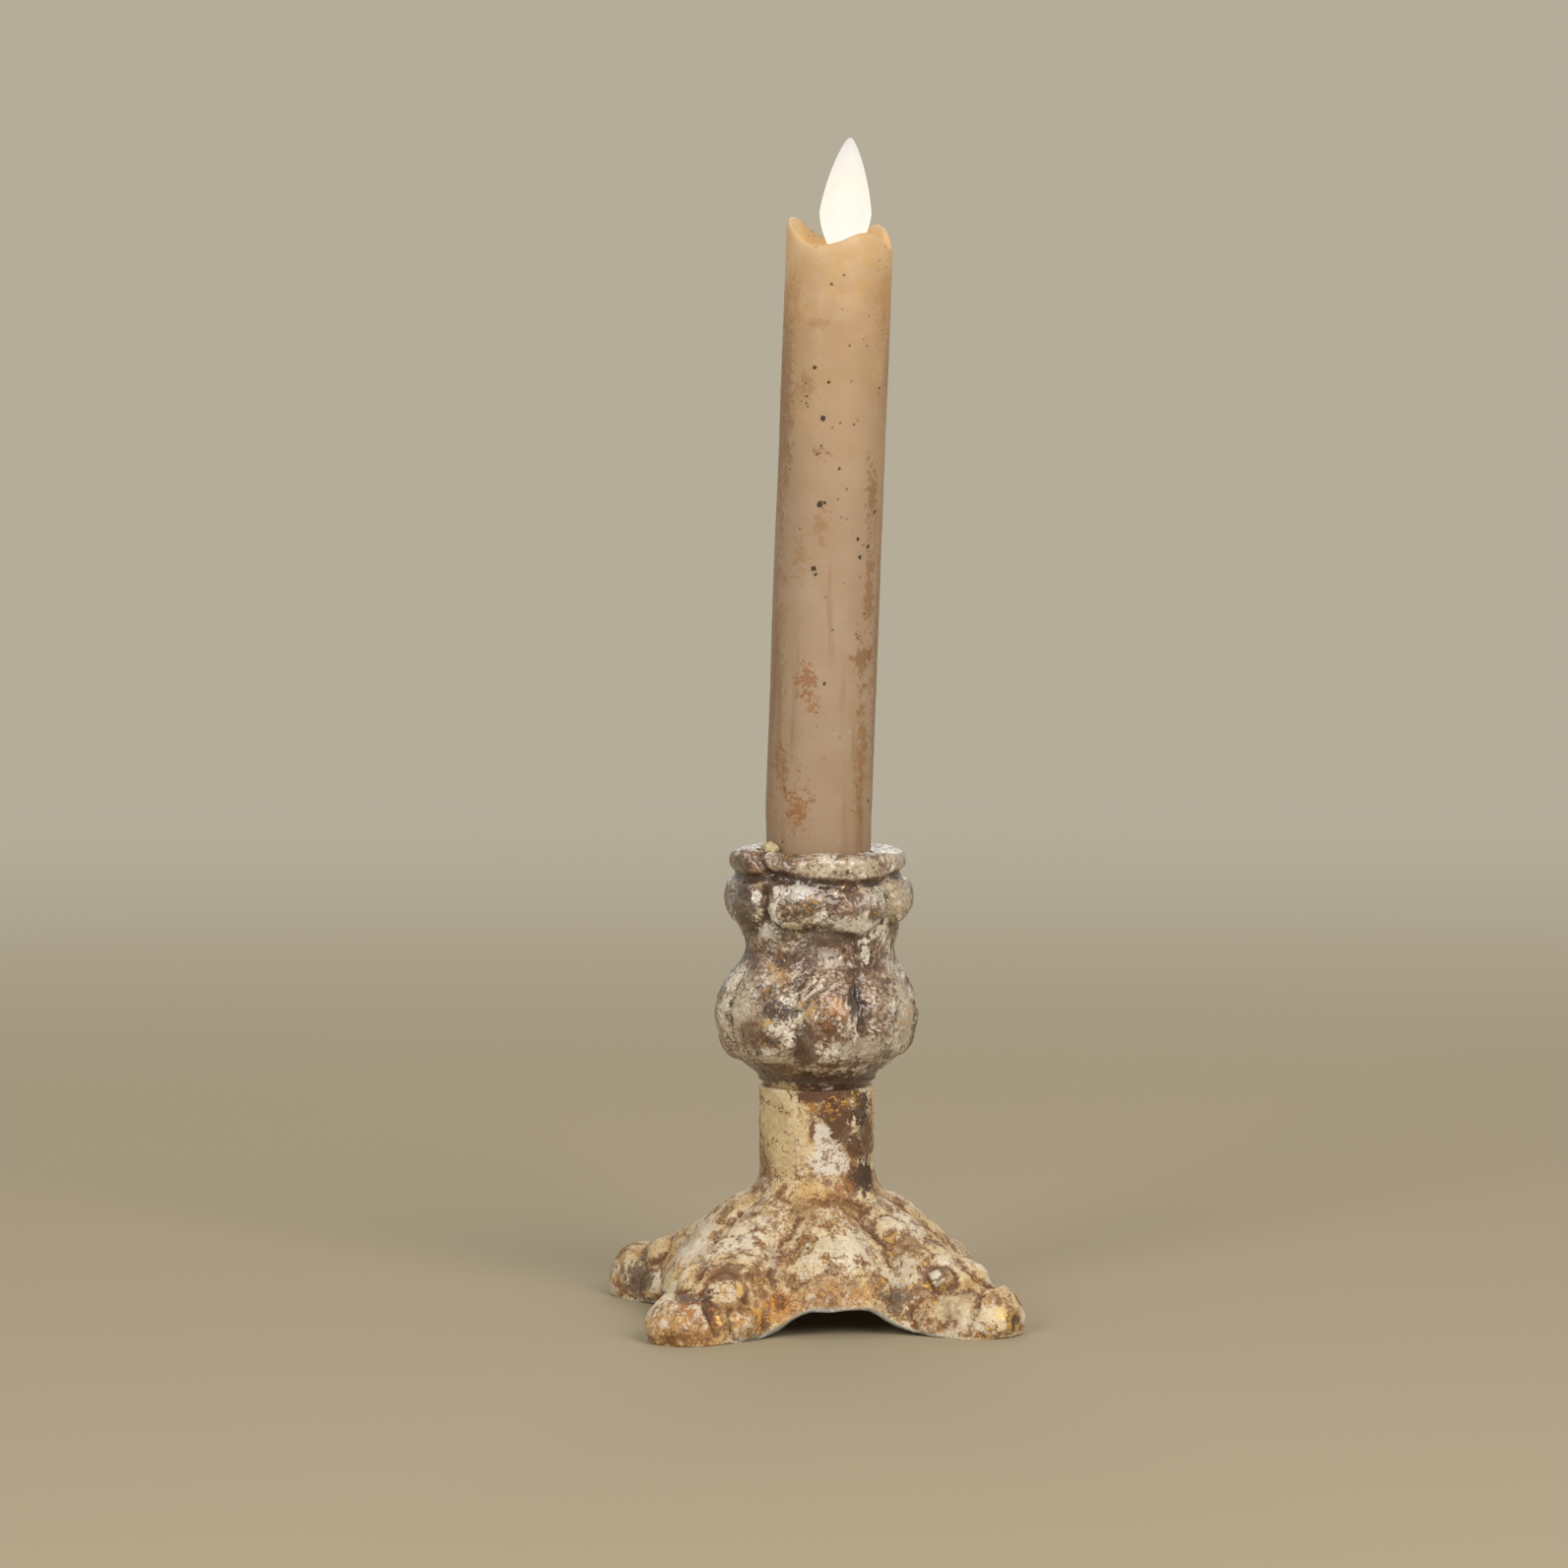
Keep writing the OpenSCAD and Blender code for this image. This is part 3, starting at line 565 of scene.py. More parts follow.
# %% Fixing wax
lump_low, lump_high = (np.array(v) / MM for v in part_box("fixing_wax"))
lump_centre = (lump_low + lump_high) / 2
bpy.ops.object.select_all(action="DESELECT")
bpy.ops.mesh.primitive_ico_sphere_add(subdivisions=5, radius=1.72 * MM, location=(0, 0, 0))
lump = bpy.context.active_object
lump.name = "fixing_wax_lump"
lump_points = points_mm(lump)
inward = -lump_centre * [1, 1, 0] / np.linalg.norm(lump_centre[:2])
towards = lump_points @ inward
lump_points *= (1 + 0.3 * lumps(lump_points, 1.3, 21) + 0.12 * lumps(lump_points, 0.6, 22))[:, None]
lump_points -= np.maximum(towards - 1.25, 0)[:, None] * inward
lump_points[:, 2] = np.where(lump_points[:, 2] < -1.0, -1.0 + 0.4 * (lump_points[:, 2] + 1.0), lump_points[:, 2])
lump_points[:, 2] *= 0.8 - 0.12 * lump_points[:, 0]
set_points(lump, lump_points + lump_centre)
smooth_shading(lump)
finish_piece(lump, "holder", ["fixing_wax"])

# %% [markdown]
# ## The old finish
# Both metal pieces wear the same kind of finish in different amounts. A ground coat of chalky paint was
# brushed on, then browns and ochres were dabbed and wiped over it, and the whole was rubbed until the coats
# below showed. So the finish is built as it was made, coat by coat. Each coat has a colour and a mask, and
# the mask is a fine pattern plus a wide one that pass a level: the wide one says where the coat is, and the
# fine one breaks its edge. Veins use the thin line where a noise crosses its middle, and crackle uses the
# edges of small cells. Brown coats also gather in hollows and pale ones on crests, which makes them look
# rubbed.

# %% Patterns of the finish
def finish_patterns(tree, coords):
    """Patterns of several sizes, read through coordinates that wander by about a millimetre."""
    drift = add_node(tree, "TexNoise", {"Vector": coords, "Scale": per_mm(2.6), "Detail": 3.0}, out=1)
    centred = add_node(tree, "VectorMath", {0: drift, 1: (0.5, 0.5, 0.5)}, operation="SUBTRACT")
    moved = add_node(tree, "VectorMath", {0: centred, 1: (2.2 * MM,) * 3, 2: coords}, operation="MULTIPLY_ADD")
    sizes = {"wide": (8.5, 2, 1), "broad": (6.5, 2, 4), "patch": (4.6, 3, 7), "middle": (2.6, 5, 2),
             "fine": (1.15, 5, 5), "grain": (0.6, 3, 8)}
    patterns = {name: add_node(tree, "TexNoise", {"Vector": moved, "Scale": per_mm(size_mm), "W": shift,
                                                  "Detail": detail, "Roughness": 0.62},
                               noise_dimensions="4D")
                for name, (size_mm, detail, shift) in sizes.items()}
    for name, size_mm, sharp in (("vein", 3.4, 12.0), ("hair_vein", 1.5, 8.0)):
        noise_value = add_node(tree, "TexNoise", {"Vector": moved, "Scale": per_mm(size_mm), "W": size_mm,
                                                  "Detail": 3.0, "Roughness": 0.5}, noise_dimensions="4D")
        off_middle = add_node(tree, "Math", {0: noise_value, 1: 0.5}, operation="SUBTRACT")
        off_middle = add_node(tree, "Math", {0: off_middle}, operation="ABSOLUTE")
        patterns[name] = add_node(tree, "Math", {0: off_middle, 1: -sharp, 2: 0.8}, operation="MULTIPLY_ADD")
    to_edge = add_node(tree, "TexVoronoi", {"Vector": moved, "Scale": per_mm(3.0), "Randomness": 1.0},
                       feature="DISTANCE_TO_EDGE")
    rough_edge = add_node(tree, "Math", {0: patterns["fine"], 1: 0.5, 2: 0.55}, operation="MULTIPLY_ADD")
    patterns["crackle"] = add_node(tree, "Math", {0: to_edge, 1: -2.2, 2: rough_edge}, operation="MULTIPLY_ADD")
    return patterns


# %% Coats and dabs
def coat_mask(tree, patterns, hollow, height_of, coat):
    """Where a coat lies: fine + pull * wide + crease * hollow, cut softly at a level."""
    value = add_node(tree, "Math", {0: patterns[coat["wide"]], 1: coat["pull"], 2: patterns[coat["fine"]]},
                     operation="MULTIPLY_ADD")
    value = add_node(tree, "Math", {0: hollow, 1: coat["crease"], 2: value}, operation="MULTIPLY_ADD")
    level = coat["level"] + 0.5 * coat["pull"]
    strength = coat["strength"]
    if coat["low_down"]:
        strength = add_node(tree, "MapRange", {"Value": height_of, "From Min": coat["low_down"] * MM,
                                               "From Max": 0.0, "To Max": strength})
    return add_node(tree, "MapRange", {"Value": value, "From Min": level - coat["soft"],
                                       "From Max": level + coat["soft"], "To Max": strength},
                    interpolation_type="SMOOTHSTEP")


def dab_mask(tree, patterns, coords, dab):
    """A ragged dab round one place on the piece, in mm; a loose dab is broken into specks, over 1 sparse ones."""
    place, size, strength, loose = dab
    away = add_node(tree, "VectorMath", {0: coords, 1: Vector(place) * MM}, operation="SUBTRACT")
    scaled = add_node(tree, "VectorMath", {0: away, 1: [1 / (s * MM) for s in size]}, operation="MULTIPLY")
    far = add_node(tree, "VectorMath", {0: scaled}, out=1, operation="LENGTH")
    torn = add_node(tree, "Math", {0: patterns["middle"], 1: 1.5 + loose, 2: far}, operation="MULTIPLY_ADD")
    torn = add_node(tree, "Math", {0: patterns["fine"], 1: 0.6 + 2.4 * loose, 2: torn},
                    operation="MULTIPLY_ADD")
    torn = add_node(tree, "Math", {0: patterns["grain"], 1: 0.5 + 1.5 * loose, 2: torn},
                    operation="MULTIPLY_ADD")
    edge = 1.0 + 0.5 * (2.6 + 4.9 * loose) - 0.8 * max(loose - 1, 0)
    return add_node(tree, "MapRange", {"Value": torn, "From Min": edge + 0.05 + 0.15 * loose,
                                       "From Max": edge - 0.15 - 0.15 * loose, "To Max": strength},
                    interpolation_type="SMOOTHSTEP")


# %% The layered finish
def aged_metal(name, look, first_dabs, coats, last_dabs):
    """Ground coat, broad dabs, the coats one by one, the last dabs, gold wax and the bare edge."""
    material, tree, shader = new_material(name, {"IOR": 1.5, "Coat Weight": look["wax"],
                                                 "Coat Roughness": look["wax_rough"]})
    coords = add_node(tree, "TexCoord", out=3)
    height_of = add_node(tree, "SeparateXYZ", {0: coords}, out=2)
    hollow = add_node(tree, "Attribute", attribute_name="hollow", out=2)
    cut_edge = add_node(tree, "Attribute", attribute_name="cut_edge", out=2)
    patterns = finish_patterns(tree, coords)

    tone = add_node(tree, "Math", {0: hollow, 1: -look["rubbed"]}, operation="MULTIPLY")
    for pattern, share in look["tone"].items():
        tone = add_node(tree, "Math", {0: patterns[pattern], 1: share, 2: tone}, operation="MULTIPLY_ADD")
    colour = add_node(tree, "ValToRGB", {"Fac": tone}, stops=look["ground"])
    gold = coat_mask(tree, patterns, hollow, height_of, look["gold"])
    layers = [(hex_value, dab_mask(tree, patterns, coords, dab)) for hex_value, *dab in first_dabs]
    layers += [(coat["hex"], coat_mask(tree, patterns, hollow, height_of, coat)) for coat in coats]
    bare = layers[-1][1]
    for coat, (_, mask) in zip(coats, layers[len(first_dabs):]):
        if coat["sunk"]:
            bare = add_node(tree, "Math", {0: bare, 1: mask}, operation="MAXIMUM")
    layers += [(hex_value, dab_mask(tree, patterns, coords, dab)) for hex_value, *dab in last_dabs]
    grime = coat_mask(tree, patterns, hollow, height_of, look["grime"])
    layers += [(look["grime"]["hex"], grime), (look["gold"]["hex"], gold), ("a5a6a4", cut_edge)]
    for hex_value, mask in layers:
        colour = add_node(tree, "Mix", {0: mask, 6: colour, 7: paint(hex_value)}, out=2, data_type="RGBA")
    metal = add_node(tree, "Math", {0: gold, 1: cut_edge}, operation="MAXIMUM")
    metal = add_node(tree, "Math", {0: metal, 1: 0.6}, operation="MULTIPLY")
    roughness = add_node(tree, "MapRange", {"Value": bare, "To Min": look["chalk_rough"],
                                            "To Max": look["bare_rough"]})
    roughness = add_node(tree, "Math", {0: metal, 1: -0.35, 2: roughness}, operation="MULTIPLY_ADD")
    level = add_node(tree, "Math", {0: bare, 1: -0.8, 2: patterns["fine"]}, operation="MULTIPLY_ADD")
    level = add_node(tree, "Math", {0: patterns["grain"], 1: 0.6, 2: level}, operation="MULTIPLY_ADD")
    bump = add_node(tree, "Bump", {"Strength": look["bump"], "Distance": 0.3 * MM, "Height": level})
    for socket, value in {"Base Color": colour, "Metallic": metal, "Roughness": roughness,
                          "Normal": bump}.items():
        tree.links.new(value, shader.inputs[socket])
    return material


def coat(hex_value, fine, wide, pull, level, soft=0.04, strength=0.85, crease=0.0, sunk=False, low_down=None):
    return {"hex": hex_value, "fine": fine, "wide": wide, "pull": pull, "level": level, "soft": soft,
            "strength": strength, "crease": crease, "sunk": sunk, "low_down": low_down}


# %% [markdown]
# The foot is cream and grey-beige chalk with calm places. Rust-brown stains, each with a darker heart, run
# together between them, ochre lies low down on the toes and over the arches, and whitish chalk stays on the
# crests. The three browns share one wide pattern, so that each stain has a pale edge and a dark middle. The
# dabs are the places that the photo shows: the white patch and the dark run on the stem, rust on the toes.

# %% Finish of the foot
foot_look = {
    "ground": [(0.40, "b28e5a"), (0.46, "cdb184"), (0.50, "dfc99f"), (0.545, "d6c4a0"), (0.60, "eaddc3")],
    "tone": {"wide": 0.4, "middle": 0.4, "grain": 0.2}, "rubbed": 0.05,
    "chalk_rough": 0.75, "bare_rough": 0.48, "wax": 0.15, "wax_rough": 0.35, "bump": 0.6,
    "grime": coat("7a5230", "grain", "middle", 1.3, 0.66, 0.05, 0.7, 0.35),
    "gold": coat("f2c46c", "fine", "patch", 1.5, 0.75, strength=0.85, low_down=34),
}
foot_first = [
    ("b87d3c", (-33.0, -39.0, 5.0), (8.0, 6.5, 5.6), 0.7, 1.0),
    ("b5803f", (-2.0, -31.5, 9.0), (10.0, 4.0, 3.0), 0.7, 1.0),
    ("b2763a", (-12.5, -29.5, 6.0), (4.4, 3.0, 3.0), 0.8, 0.8),
    ("c38b45", (-18.4, -32.8, 4.2), (3.6, 3.0, 3.0), 0.8, 0.7),
    ("a87443", (21.0, -35.5, 2.6), (7.0, 3.0, 1.5), 0.7, 0.9),
    ("9c7548", (-0.9, -17.2, 24.2), (13.0, 6.0, 2.0), 0.6, 1.1),
    ("e6dac4", (-18.0, -20.0, 19.4), (4.5, 5.0, 3.0), 0.75, 0.6),
]
foot_coats = [
    coat("cb9650", "middle", "broad", 1.5, 0.54, 0.09, 0.75, low_down=19),
    coat("e6dcc8", "middle", "wide", 1.5, 0.635, 0.07, 0.7, -0.16),
    coat("b08a5c", "middle", "patch", 1.4, 0.53, 0.08, 0.7, 0.16, True),
    coat("8d6640", "fine", "patch", 1.5, 0.57, 0.06, 0.75, 0.22, True),
    coat("825026", "fine", "broad", 1.4, 0.60, 0.06, 0.8, 0.2, True, low_down=16),
    coat("63432a", "grain", "patch", 1.6, 0.655, 0.06, 0.8, 0.3, True),
    coat("7a5533", "vein", "patch", 1.5, 0.71, 0.14, 0.7, 0.3, True),
    coat("8a6039", "hair_vein", "broad", 1.3, 0.72, 0.14, 0.6, 0.2, True),
    coat("f0e6d2", "grain", "broad", 1.5, 0.68, 0.05, 0.6, -0.12),
    coat("452c1b", "grain", "middle", 0.6, 0.78, 0.10, 0.8, 0.45, True),
    coat("472f1e", "fine", "fine", 0.0, 0.84, 0.25, 0.85, 0.62, True),
]
foot_last = [
    # The cream on the stem's left is partly its own paint and partly painted light, lighter on the side that the
    # left window lights.
    ("dac397", (-9.5, -8.0, 39.0), (6.5, 6.0, 9.5), 0.75, 0.7),
    ("b3946a", (10.2, -6.3, 38.7), (1.6, 4.0, 7.5), 0.85, 0.6),
    ("5b3924", (0.85, -12.0, 48.0), (7.5, 4.0, 2.5), 0.95, 0.5),
    ("573723", (2.4, -11.8, 43.9), (5.0, 4.0, 3.6), 0.95, 0.5),
    ("60402a", (3.45, -11.5, 39.7), (3.0, 4.0, 3.0), 0.9, 0.6),
    ("44332a", (8.0, -8.9, 44.6), (2.4, 3.6, 3.6), 0.9, 0.5),
    ("4c3324", (9.2, -7.8, 39.0), (2.4, 4.0, 6.5), 0.8, 0.9),
    ("5a3a26", (6.3, -10.2, 36.1), (2.0, 3.0, 2.5), 0.9, 0.5),
    ("3f281b", (8.4, -8.8, 30.2), (3.2, 5.0, 3.8), 0.95, 0.5),
    ("6b4a31", (-2.5, -11.7, 40.2), (0.9, 3.0, 3.0), 0.85, 0.4),
    ("e2dbd0", (-0.7, -12.0, 38.9), (1.7, 3.0, 3.2), 0.9, 0.4),
    ("eae5da", (0.7, -12.0, 34.0), (4.2, 4.0, 3.7), 0.92, 0.4),
    ("8f6a4a", (0.7, -12.0, 34.6), (5.0, 4.0, 4.6), 0.85, 2.1),
    ("e3b35c", (4.0, -11.2, 45.8), (4.4, 4.0, 2.2), 0.9, 2.0),
    ("c98f40", (0.6, -12.0, 44.6), (4.6, 4.0, 2.2), 0.85, 1.9),
    ("7a5535", (-11.6, -3.4, 31.0), (1.7, 5.0, 6.0), 0.75, 1.6),
    ("a86b34", (2.6, -13.4, 28.2), (4.4, 4.0, 2.1), 0.75, 1.5),
    ("dcb673", (-3.2, -13.2, 27.8), (2.6, 3.0, 1.9), 0.65, 1.0),
    ("ddd2bb", (-24.2, -3.3, 19.0), (4.6, 6.0, 2.2), 0.65, 1.2),
    ("e4dccb", (-27.5, -4.8, 15.2), (3.4, 6.0, 2.2), 0.7, 1.0),
    ("5a3a22", (-31.0, -35.4, 10.2), (5.0, 6.0, 1.9), 0.92, 0.6),
    ("563720", (-27.8, -37.4, 7.4), (1.5, 6.0, 3.2), 0.92, 0.5),
    ("6a452a", (-15.1, -30.8, 3.8), (1.5, 5.0, 2.8), 0.85, 0.6),
    ("7c4f28", (-33.5, -39.5, 2.4), (6.0, 6.0, 2.2), 0.75, 1.4),
    ("f0cd8c", (-32.5, -39.0, 5.4), (5.6, 6.0, 4.2), 0.9, 2.0),
    ("a2642a", (-31.5, -39.0, 6.4), (5.6, 6.0, 4.0), 0.85, 1.8),
    ("e5ad55", (-15.5, -31.0, 5.0), (6.5, 5.0, 3.6), 0.85, 2.0),
    ("6f4a2c", (-23.0, -29.4, 13.6), (4.6, 6.0, 1.9), 0.85, 0.9),
    ("efc981", (-20.8, -31.4, 10.3), (1.2, 2.0, 1.7), 0.85, 0.8),
    ("dd9338", (-12.3, -28.9, 7.2), (1.8, 2.0, 1.6), 0.8, 1.2),
    ("c8bca2", (-12.3, -23.8, 15.6), (1.2, 3.0, 4.2), 0.75, 0.4),
    ("e3d8bd", (0.5, -25.3, 18.0), (8.4, 5.0, 5.0), 0.8, 1.2),
    ("ddd2bb", (13.5, -26.5, 12.3), (3.8, 4.0, 3.6), 0.75, 0.8),
    ("cbba98", (22.9, -35.4, 6.6), (5.4, 4.0, 3.2), 0.6, 0.8),
    ("5f4128", (20.0, -29.9, 12.3), (3.0, 3.0, 3.0), 0.8, 0.7),
    ("e9e0d0", (19.8, -30.0, 12.7), (1.5, 2.0, 1.6), 1.0, 0.15),
    ("554a40", (12.2, -28.9, 7.2), (3.4, 3.0, 2.8), 0.75, 1.2),
    ("6b3a22", (28.6, -36.6, 9.6), (2.2, 2.6, 1.8), 0.95, 0.35),
    ("75432a", (33.4, -36.5, 9.7), (3.2, 3.0, 1.8), 0.95, 0.35),
    ("ecdcbc", (30.6, -39.6, 4.6), (3.0, 3.0, 3.0), 0.85, 0.6),
    ("f0d48c", (32.3, -39.1, 5.8), (2.2, 3.0, 2.2), 0.85, 1.5),
    ("4c3523", (36.2, -38.3, 3.6), (1.4, 3.0, 3.6), 0.8, 0.5),
    ("7d5634", (15.8, -22.8, 17.9), (2.4, 4.0, 2.8), 0.7, 0.9),
    ("58493c", (-34.6, 21.2, 4.7), (4.4, 4.4, 4.2), 0.8, 0.9),
    ("80502b", (34.0, 36.0, 9.8), (4.6, 4.6, 2.6), 0.75, 0.8),
    ("75492a", (-36.0, 33.0, 9.4), (4.0, 4.0, 2.6), 0.75, 0.8),
    ("5f442f", (0.0, 12.0, 38.0), (5.5, 4.0, 9.0), 0.75, 1.5),
    ("e4ddcf", (10.5, 6.5, 36.0), (3.4, 4.4, 4.6), 0.9, 0.4),
]
foot.data.materials.append(aged_metal("chalk_paint_over_rusted_steel", foot_look, foot_first, foot_coats,
                                      foot_last))

# %% [markdown]
# The socket piece is darker. Its ground runs through every tone from umber to warm cream, lighter on crests
# where the paint was rubbed on and darker in hollows, and specks of pale chalk and of dark metal lie over it
# in clusters. It was waxed and buffed, so it shines softly. A little gold sits between the petals.
# A few of the last dabs are painted light: highlights on the left lobe, the front swag and the waist, a reflection
# on both edges of the bulb, and a shadow under the rim's roll at the front left.

# %% Finish of the socket piece
socket_look = {
    "ground": [(0.38, "33231a"), (0.44, "563f2f"), (0.48, "785b46"), (0.52, "967c66"), (0.56, "b8a28c"),
               (0.61, "dcd0bd")],
    "tone": {"wide": 0.3, "middle": 0.35, "fine": 0.2, "grain": 0.15}, "rubbed": 0.1,
    "chalk_rough": 0.4, "bare_rough": 0.24, "wax": 1.0, "wax_rough": 0.16, "bump": 0.8,
    "grime": coat("38281d", "grain", "middle", 1.2, 0.68, 0.05, 0.75, 0.4),
    "gold": coat("dca85a", "fine", "patch", 1.5, 0.79, strength=0.8),
}
socket_first = [
    ("a3734a", (0.5, -20.9, 66.7), (4.0, 4.0, 3.4), 0.5, 1.3),
    ("c09860", (-9.8, -14.5, 74.0), (2.6, 4.0, 2.4), 0.7, 0.9),
    ("a5805a", (3.0, 20.5, 66.0), (6.0, 4.0, 5.0), 0.7, 1.0),
]
socket_coats = [
    coat("d3c7b1", "fine", "broad", 1.3, 0.58, 0.10, 0.75, -0.28),
    coat("a9733a", "fine", "patch", 1.4, 0.62, 0.08, 0.6),
    coat("efe9de", "grain", "broad", 1.3, 0.61, 0.06, 0.8, -0.26),
    coat("453022", "grain", "patch", 1.2, 0.57, 0.06, 0.8, 0.20, True),
    coat("5a4130", "vein", "middle", 1.2, 0.72, 0.12, 0.65, 0.25, True),
    coat("33241a", "fine", "fine", 0.0, 0.82, 0.28, 0.88, 0.65, True),
]
socket_last = [
    ("7a4626", (-1.0, -19.6, 65.5), (11.0, 6.0, 7.5), 0.4, 1.5),
    ("523c2d", (-17.0, -9.0, 88.0), (4.4, 6.0, 6.5), 0.8, 0.8),
    ("5a4232", (-16.8, -7.4, 95.0), (3.6, 5.0, 2.6), 0.7, 0.8),
    # A painted shadow under the front left of the rim's roll.
    ("5a4636", (-9.0, -15.5, 93.4), (5.0, 4.0, 1.4), 0.8, 0.7),
    ("d3c4aa", (14.5, -11.0, 87.5), (4.6, 6.0, 5.0), 0.7, 0.9),
    ("d3c6ad", (3.0, -18.0, 95.6), (8.0, 4.0, 1.8), 0.7, 1.0),
    # These two pale dabs on the bulb's left and right edges are a painted reflection: the sheen of the waxed
    # surface at its edges.
    ("dacdb2", (-18.8, -10.0, 65.0), (4.6, 6.5, 8.5), 0.8, 1.2),
    ("dacdb5", (17.0, -12.0, 63.5), (5.2, 6.5, 9.0), 0.75, 1.2),
    ("c9bba3", (15.7, -9.1, 96.5), (5.0, 5.0, 2.4), 0.7, 0.9),
    # A painted highlight: the small white spot on the left lobe.
    ("e4e0d6", (-14.3, -11.7, 89.2), (1.1, 1.6, 1.6), 0.9, 0.3),
    ("dcd6ca", (-12.2, -11.5, 81.9), (2.2, 2.6, 1.6), 0.9, 0.6),
    ("ddd3b4", (-7.8, -16.8, 83.4), (2.4, 2.4, 1.0), 1.0, 0.15),
    # A painted highlight on the top of the swag at the front.
    ("dddad5", (-5.9, -17.8, 90.4), (3.8, 3.0, 1.8), 0.85, 0.7),
    ("7d6a5a", (6.3, -18.3, 88.4), (3.0, 3.0, 1.8), 0.7, 1.0),
    ("ddd6c8", (4.6, -17.4, 83.4), (5.4, 3.4, 1.7), 0.8, 0.8),
    # A painted highlight on the waist.
    ("e2ddd2", (8.2, -13.9, 77.0), (1.4, 2.0, 1.7), 0.95, 0.35),
    ("cfc5bb", (-0.2, -16.2, 77.4), (2.8, 3.0, 2.0), 0.7, 1.0),
    ("5b4435", (0.0, -16.6, 80.6), (8.0, 5.0, 1.7), 0.85, 0.5),
    ("62453a", (-5.0, -15.6, 76.9), (3.4, 4.0, 3.0), 0.75, 0.8),
    ("e0bb78", (-12.6, -16.9, 63.6), (2.4, 3.0, 1.0), 0.85, 1.4),
    ("4a3329", (-10.0, -18.2, 65.9), (4.0, 5.0, 2.1), 0.88, 0.6),
    ("6b5041", (-5.2, -18.6, 58.2), (2.8, 5.0, 5.0), 0.85, 0.5),
    ("d2ab68", (-4.6, -19.6, 66.0), (4.4, 4.0, 2.8), 0.8, 1.9),
    ("c08c50", (1.2, -20.7, 66.8), (4.6, 4.0, 3.4), 0.75, 1.9),
    ("3d2b20", (4.9, -18.9, 68.0), (1.6, 3.0, 3.8), 0.85, 0.7),
    ("5a3b24", (7.2, -18.5, 64.6), (1.4, 3.0, 4.2), 0.8, 0.6),
    ("c5b8a3", (6.5, -17.6, 58.2), (6.2, 4.0, 2.2), 0.75, 0.6),
    ("c9bda6", (-10.2, -14.6, 55.6), (3.6, 4.0, 1.0), 0.8, 0.4),
    ("73553c", (-16.0, -13.8, 61.0), (2.6, 4.0, 2.6), 0.75, 0.8),
    ("553b2d", (0.0, 0.0, 51.0), (19.0, 19.0, 3.4), 0.9, 0.4),
    ("3a261c", (1.0, -14.0, 50.4), (9.0, 6.0, 1.3), 0.8, 0.5),
    ("c4b08a", (-9.8, -9.0, 48.4), (4.6, 5.0, 1.7), 0.9, 0.5),
    ("5e4637", (0.0, 17.0, 78.4), (10.0, 5.0, 2.8), 0.85, 0.35),
    ("5e4637", (-15.5, 0.5, 77.6), (5.0, 9.0, 2.6), 0.7, 0.5),
]
casting.data.materials.append(aged_metal("waxed_umber_casting", socket_look, socket_first, socket_coats,
                                         socket_last))

# %% [markdown]
# ## Wax
# Candle wax is a cloudy solid: light goes in, scatters and comes out warm. This candle is tinted taupe,
# warmer and lighter towards the top, where the lamp shines through it, and it is stained golden brown in
# runs down its side, with dark specks of dust and faint pale scuffs. Stains and specks have the places that
# the photo shows, given by the turn round the candle and the height above its foot. The long stains down
# its left and right edges are partly stains and partly painted shade, darker towards those edges.

# %% Stains and specks on the candle
def on_wax(turn_deg, height_mm):
    """A place on the candle's skin, in mm."""
    turned = Matrix.Rotation(math.radians(turn_deg), 4, "Z") @ Vector((CANDLE_R * MM, 0, height_mm * MM))
    return on_candle @ turned / MM


# Each stain: colour, turn, height, size round the candle and along it, strength, looseness. The first
# four, long and near the left and right edges, are partly painted shade.
WAX_STAINS_AND_EDGE_SHADE = [
    ("8b6a46", -168, 112, 3.4, 24.0, 0.5, 1.0), ("8e7050", -165, 56, 3.2, 26.0, 0.4, 1.0),
    ("87653c", -18, 58, 3.6, 26.0, 0.55, 1.2), ("967248", -20, 122, 2.8, 12.0, 0.4, 1.2),
    ("925a1c", -119, 55.7, 2.6, 3.8, 0.7, 1.4), ("925a1c", -112, 50.6, 2.0, 2.6, 0.55, 1.5),
    ("925a1c", -123, 29.1, 3.0, 6.0, 0.7, 1.4), ("8a6434", -145, 36.9, 3.0, 5.4, 0.55, 1.4),
    ("886032", -49, 95.0, 1.9, 6.0, 0.6, 1.3), ("8c6536", -47, 74.0, 2.0, 9.5, 0.6, 1.3),
    ("865c2c", -54, 60.4, 2.8, 4.4, 0.65, 1.3), ("8e6230", -51, 40.0, 1.8, 15.0, 0.6, 1.3),
    ("9c7442", -110, 88.7, 1.9, 6.4, 0.5, 1.6), ("9a7444", -131, 81.6, 1.8, 5.4, 0.45, 1.6),
    ("9c7548", -132, 116.9, 2.6, 4.4, 0.45, 1.6), ("b07c45", -40, 133.0, 2.4, 8.4, 0.5, 1.4),
    ("b38650", -155, 134.2, 3.6, 6.4, 0.45, 1.4), ("a0703e", -118, 129.5, 5.4, 1.2, 0.45, 1.9),
    ("8a5a2a", -113, 102.8, 2.0, 1.6, 0.7, 1.6), ("977047", 60, 70.0, 4.0, 30.0, 0.4, 1.2),
    ("9b734a", 140, 95.0, 4.0, 22.0, 0.4, 1.2),
]
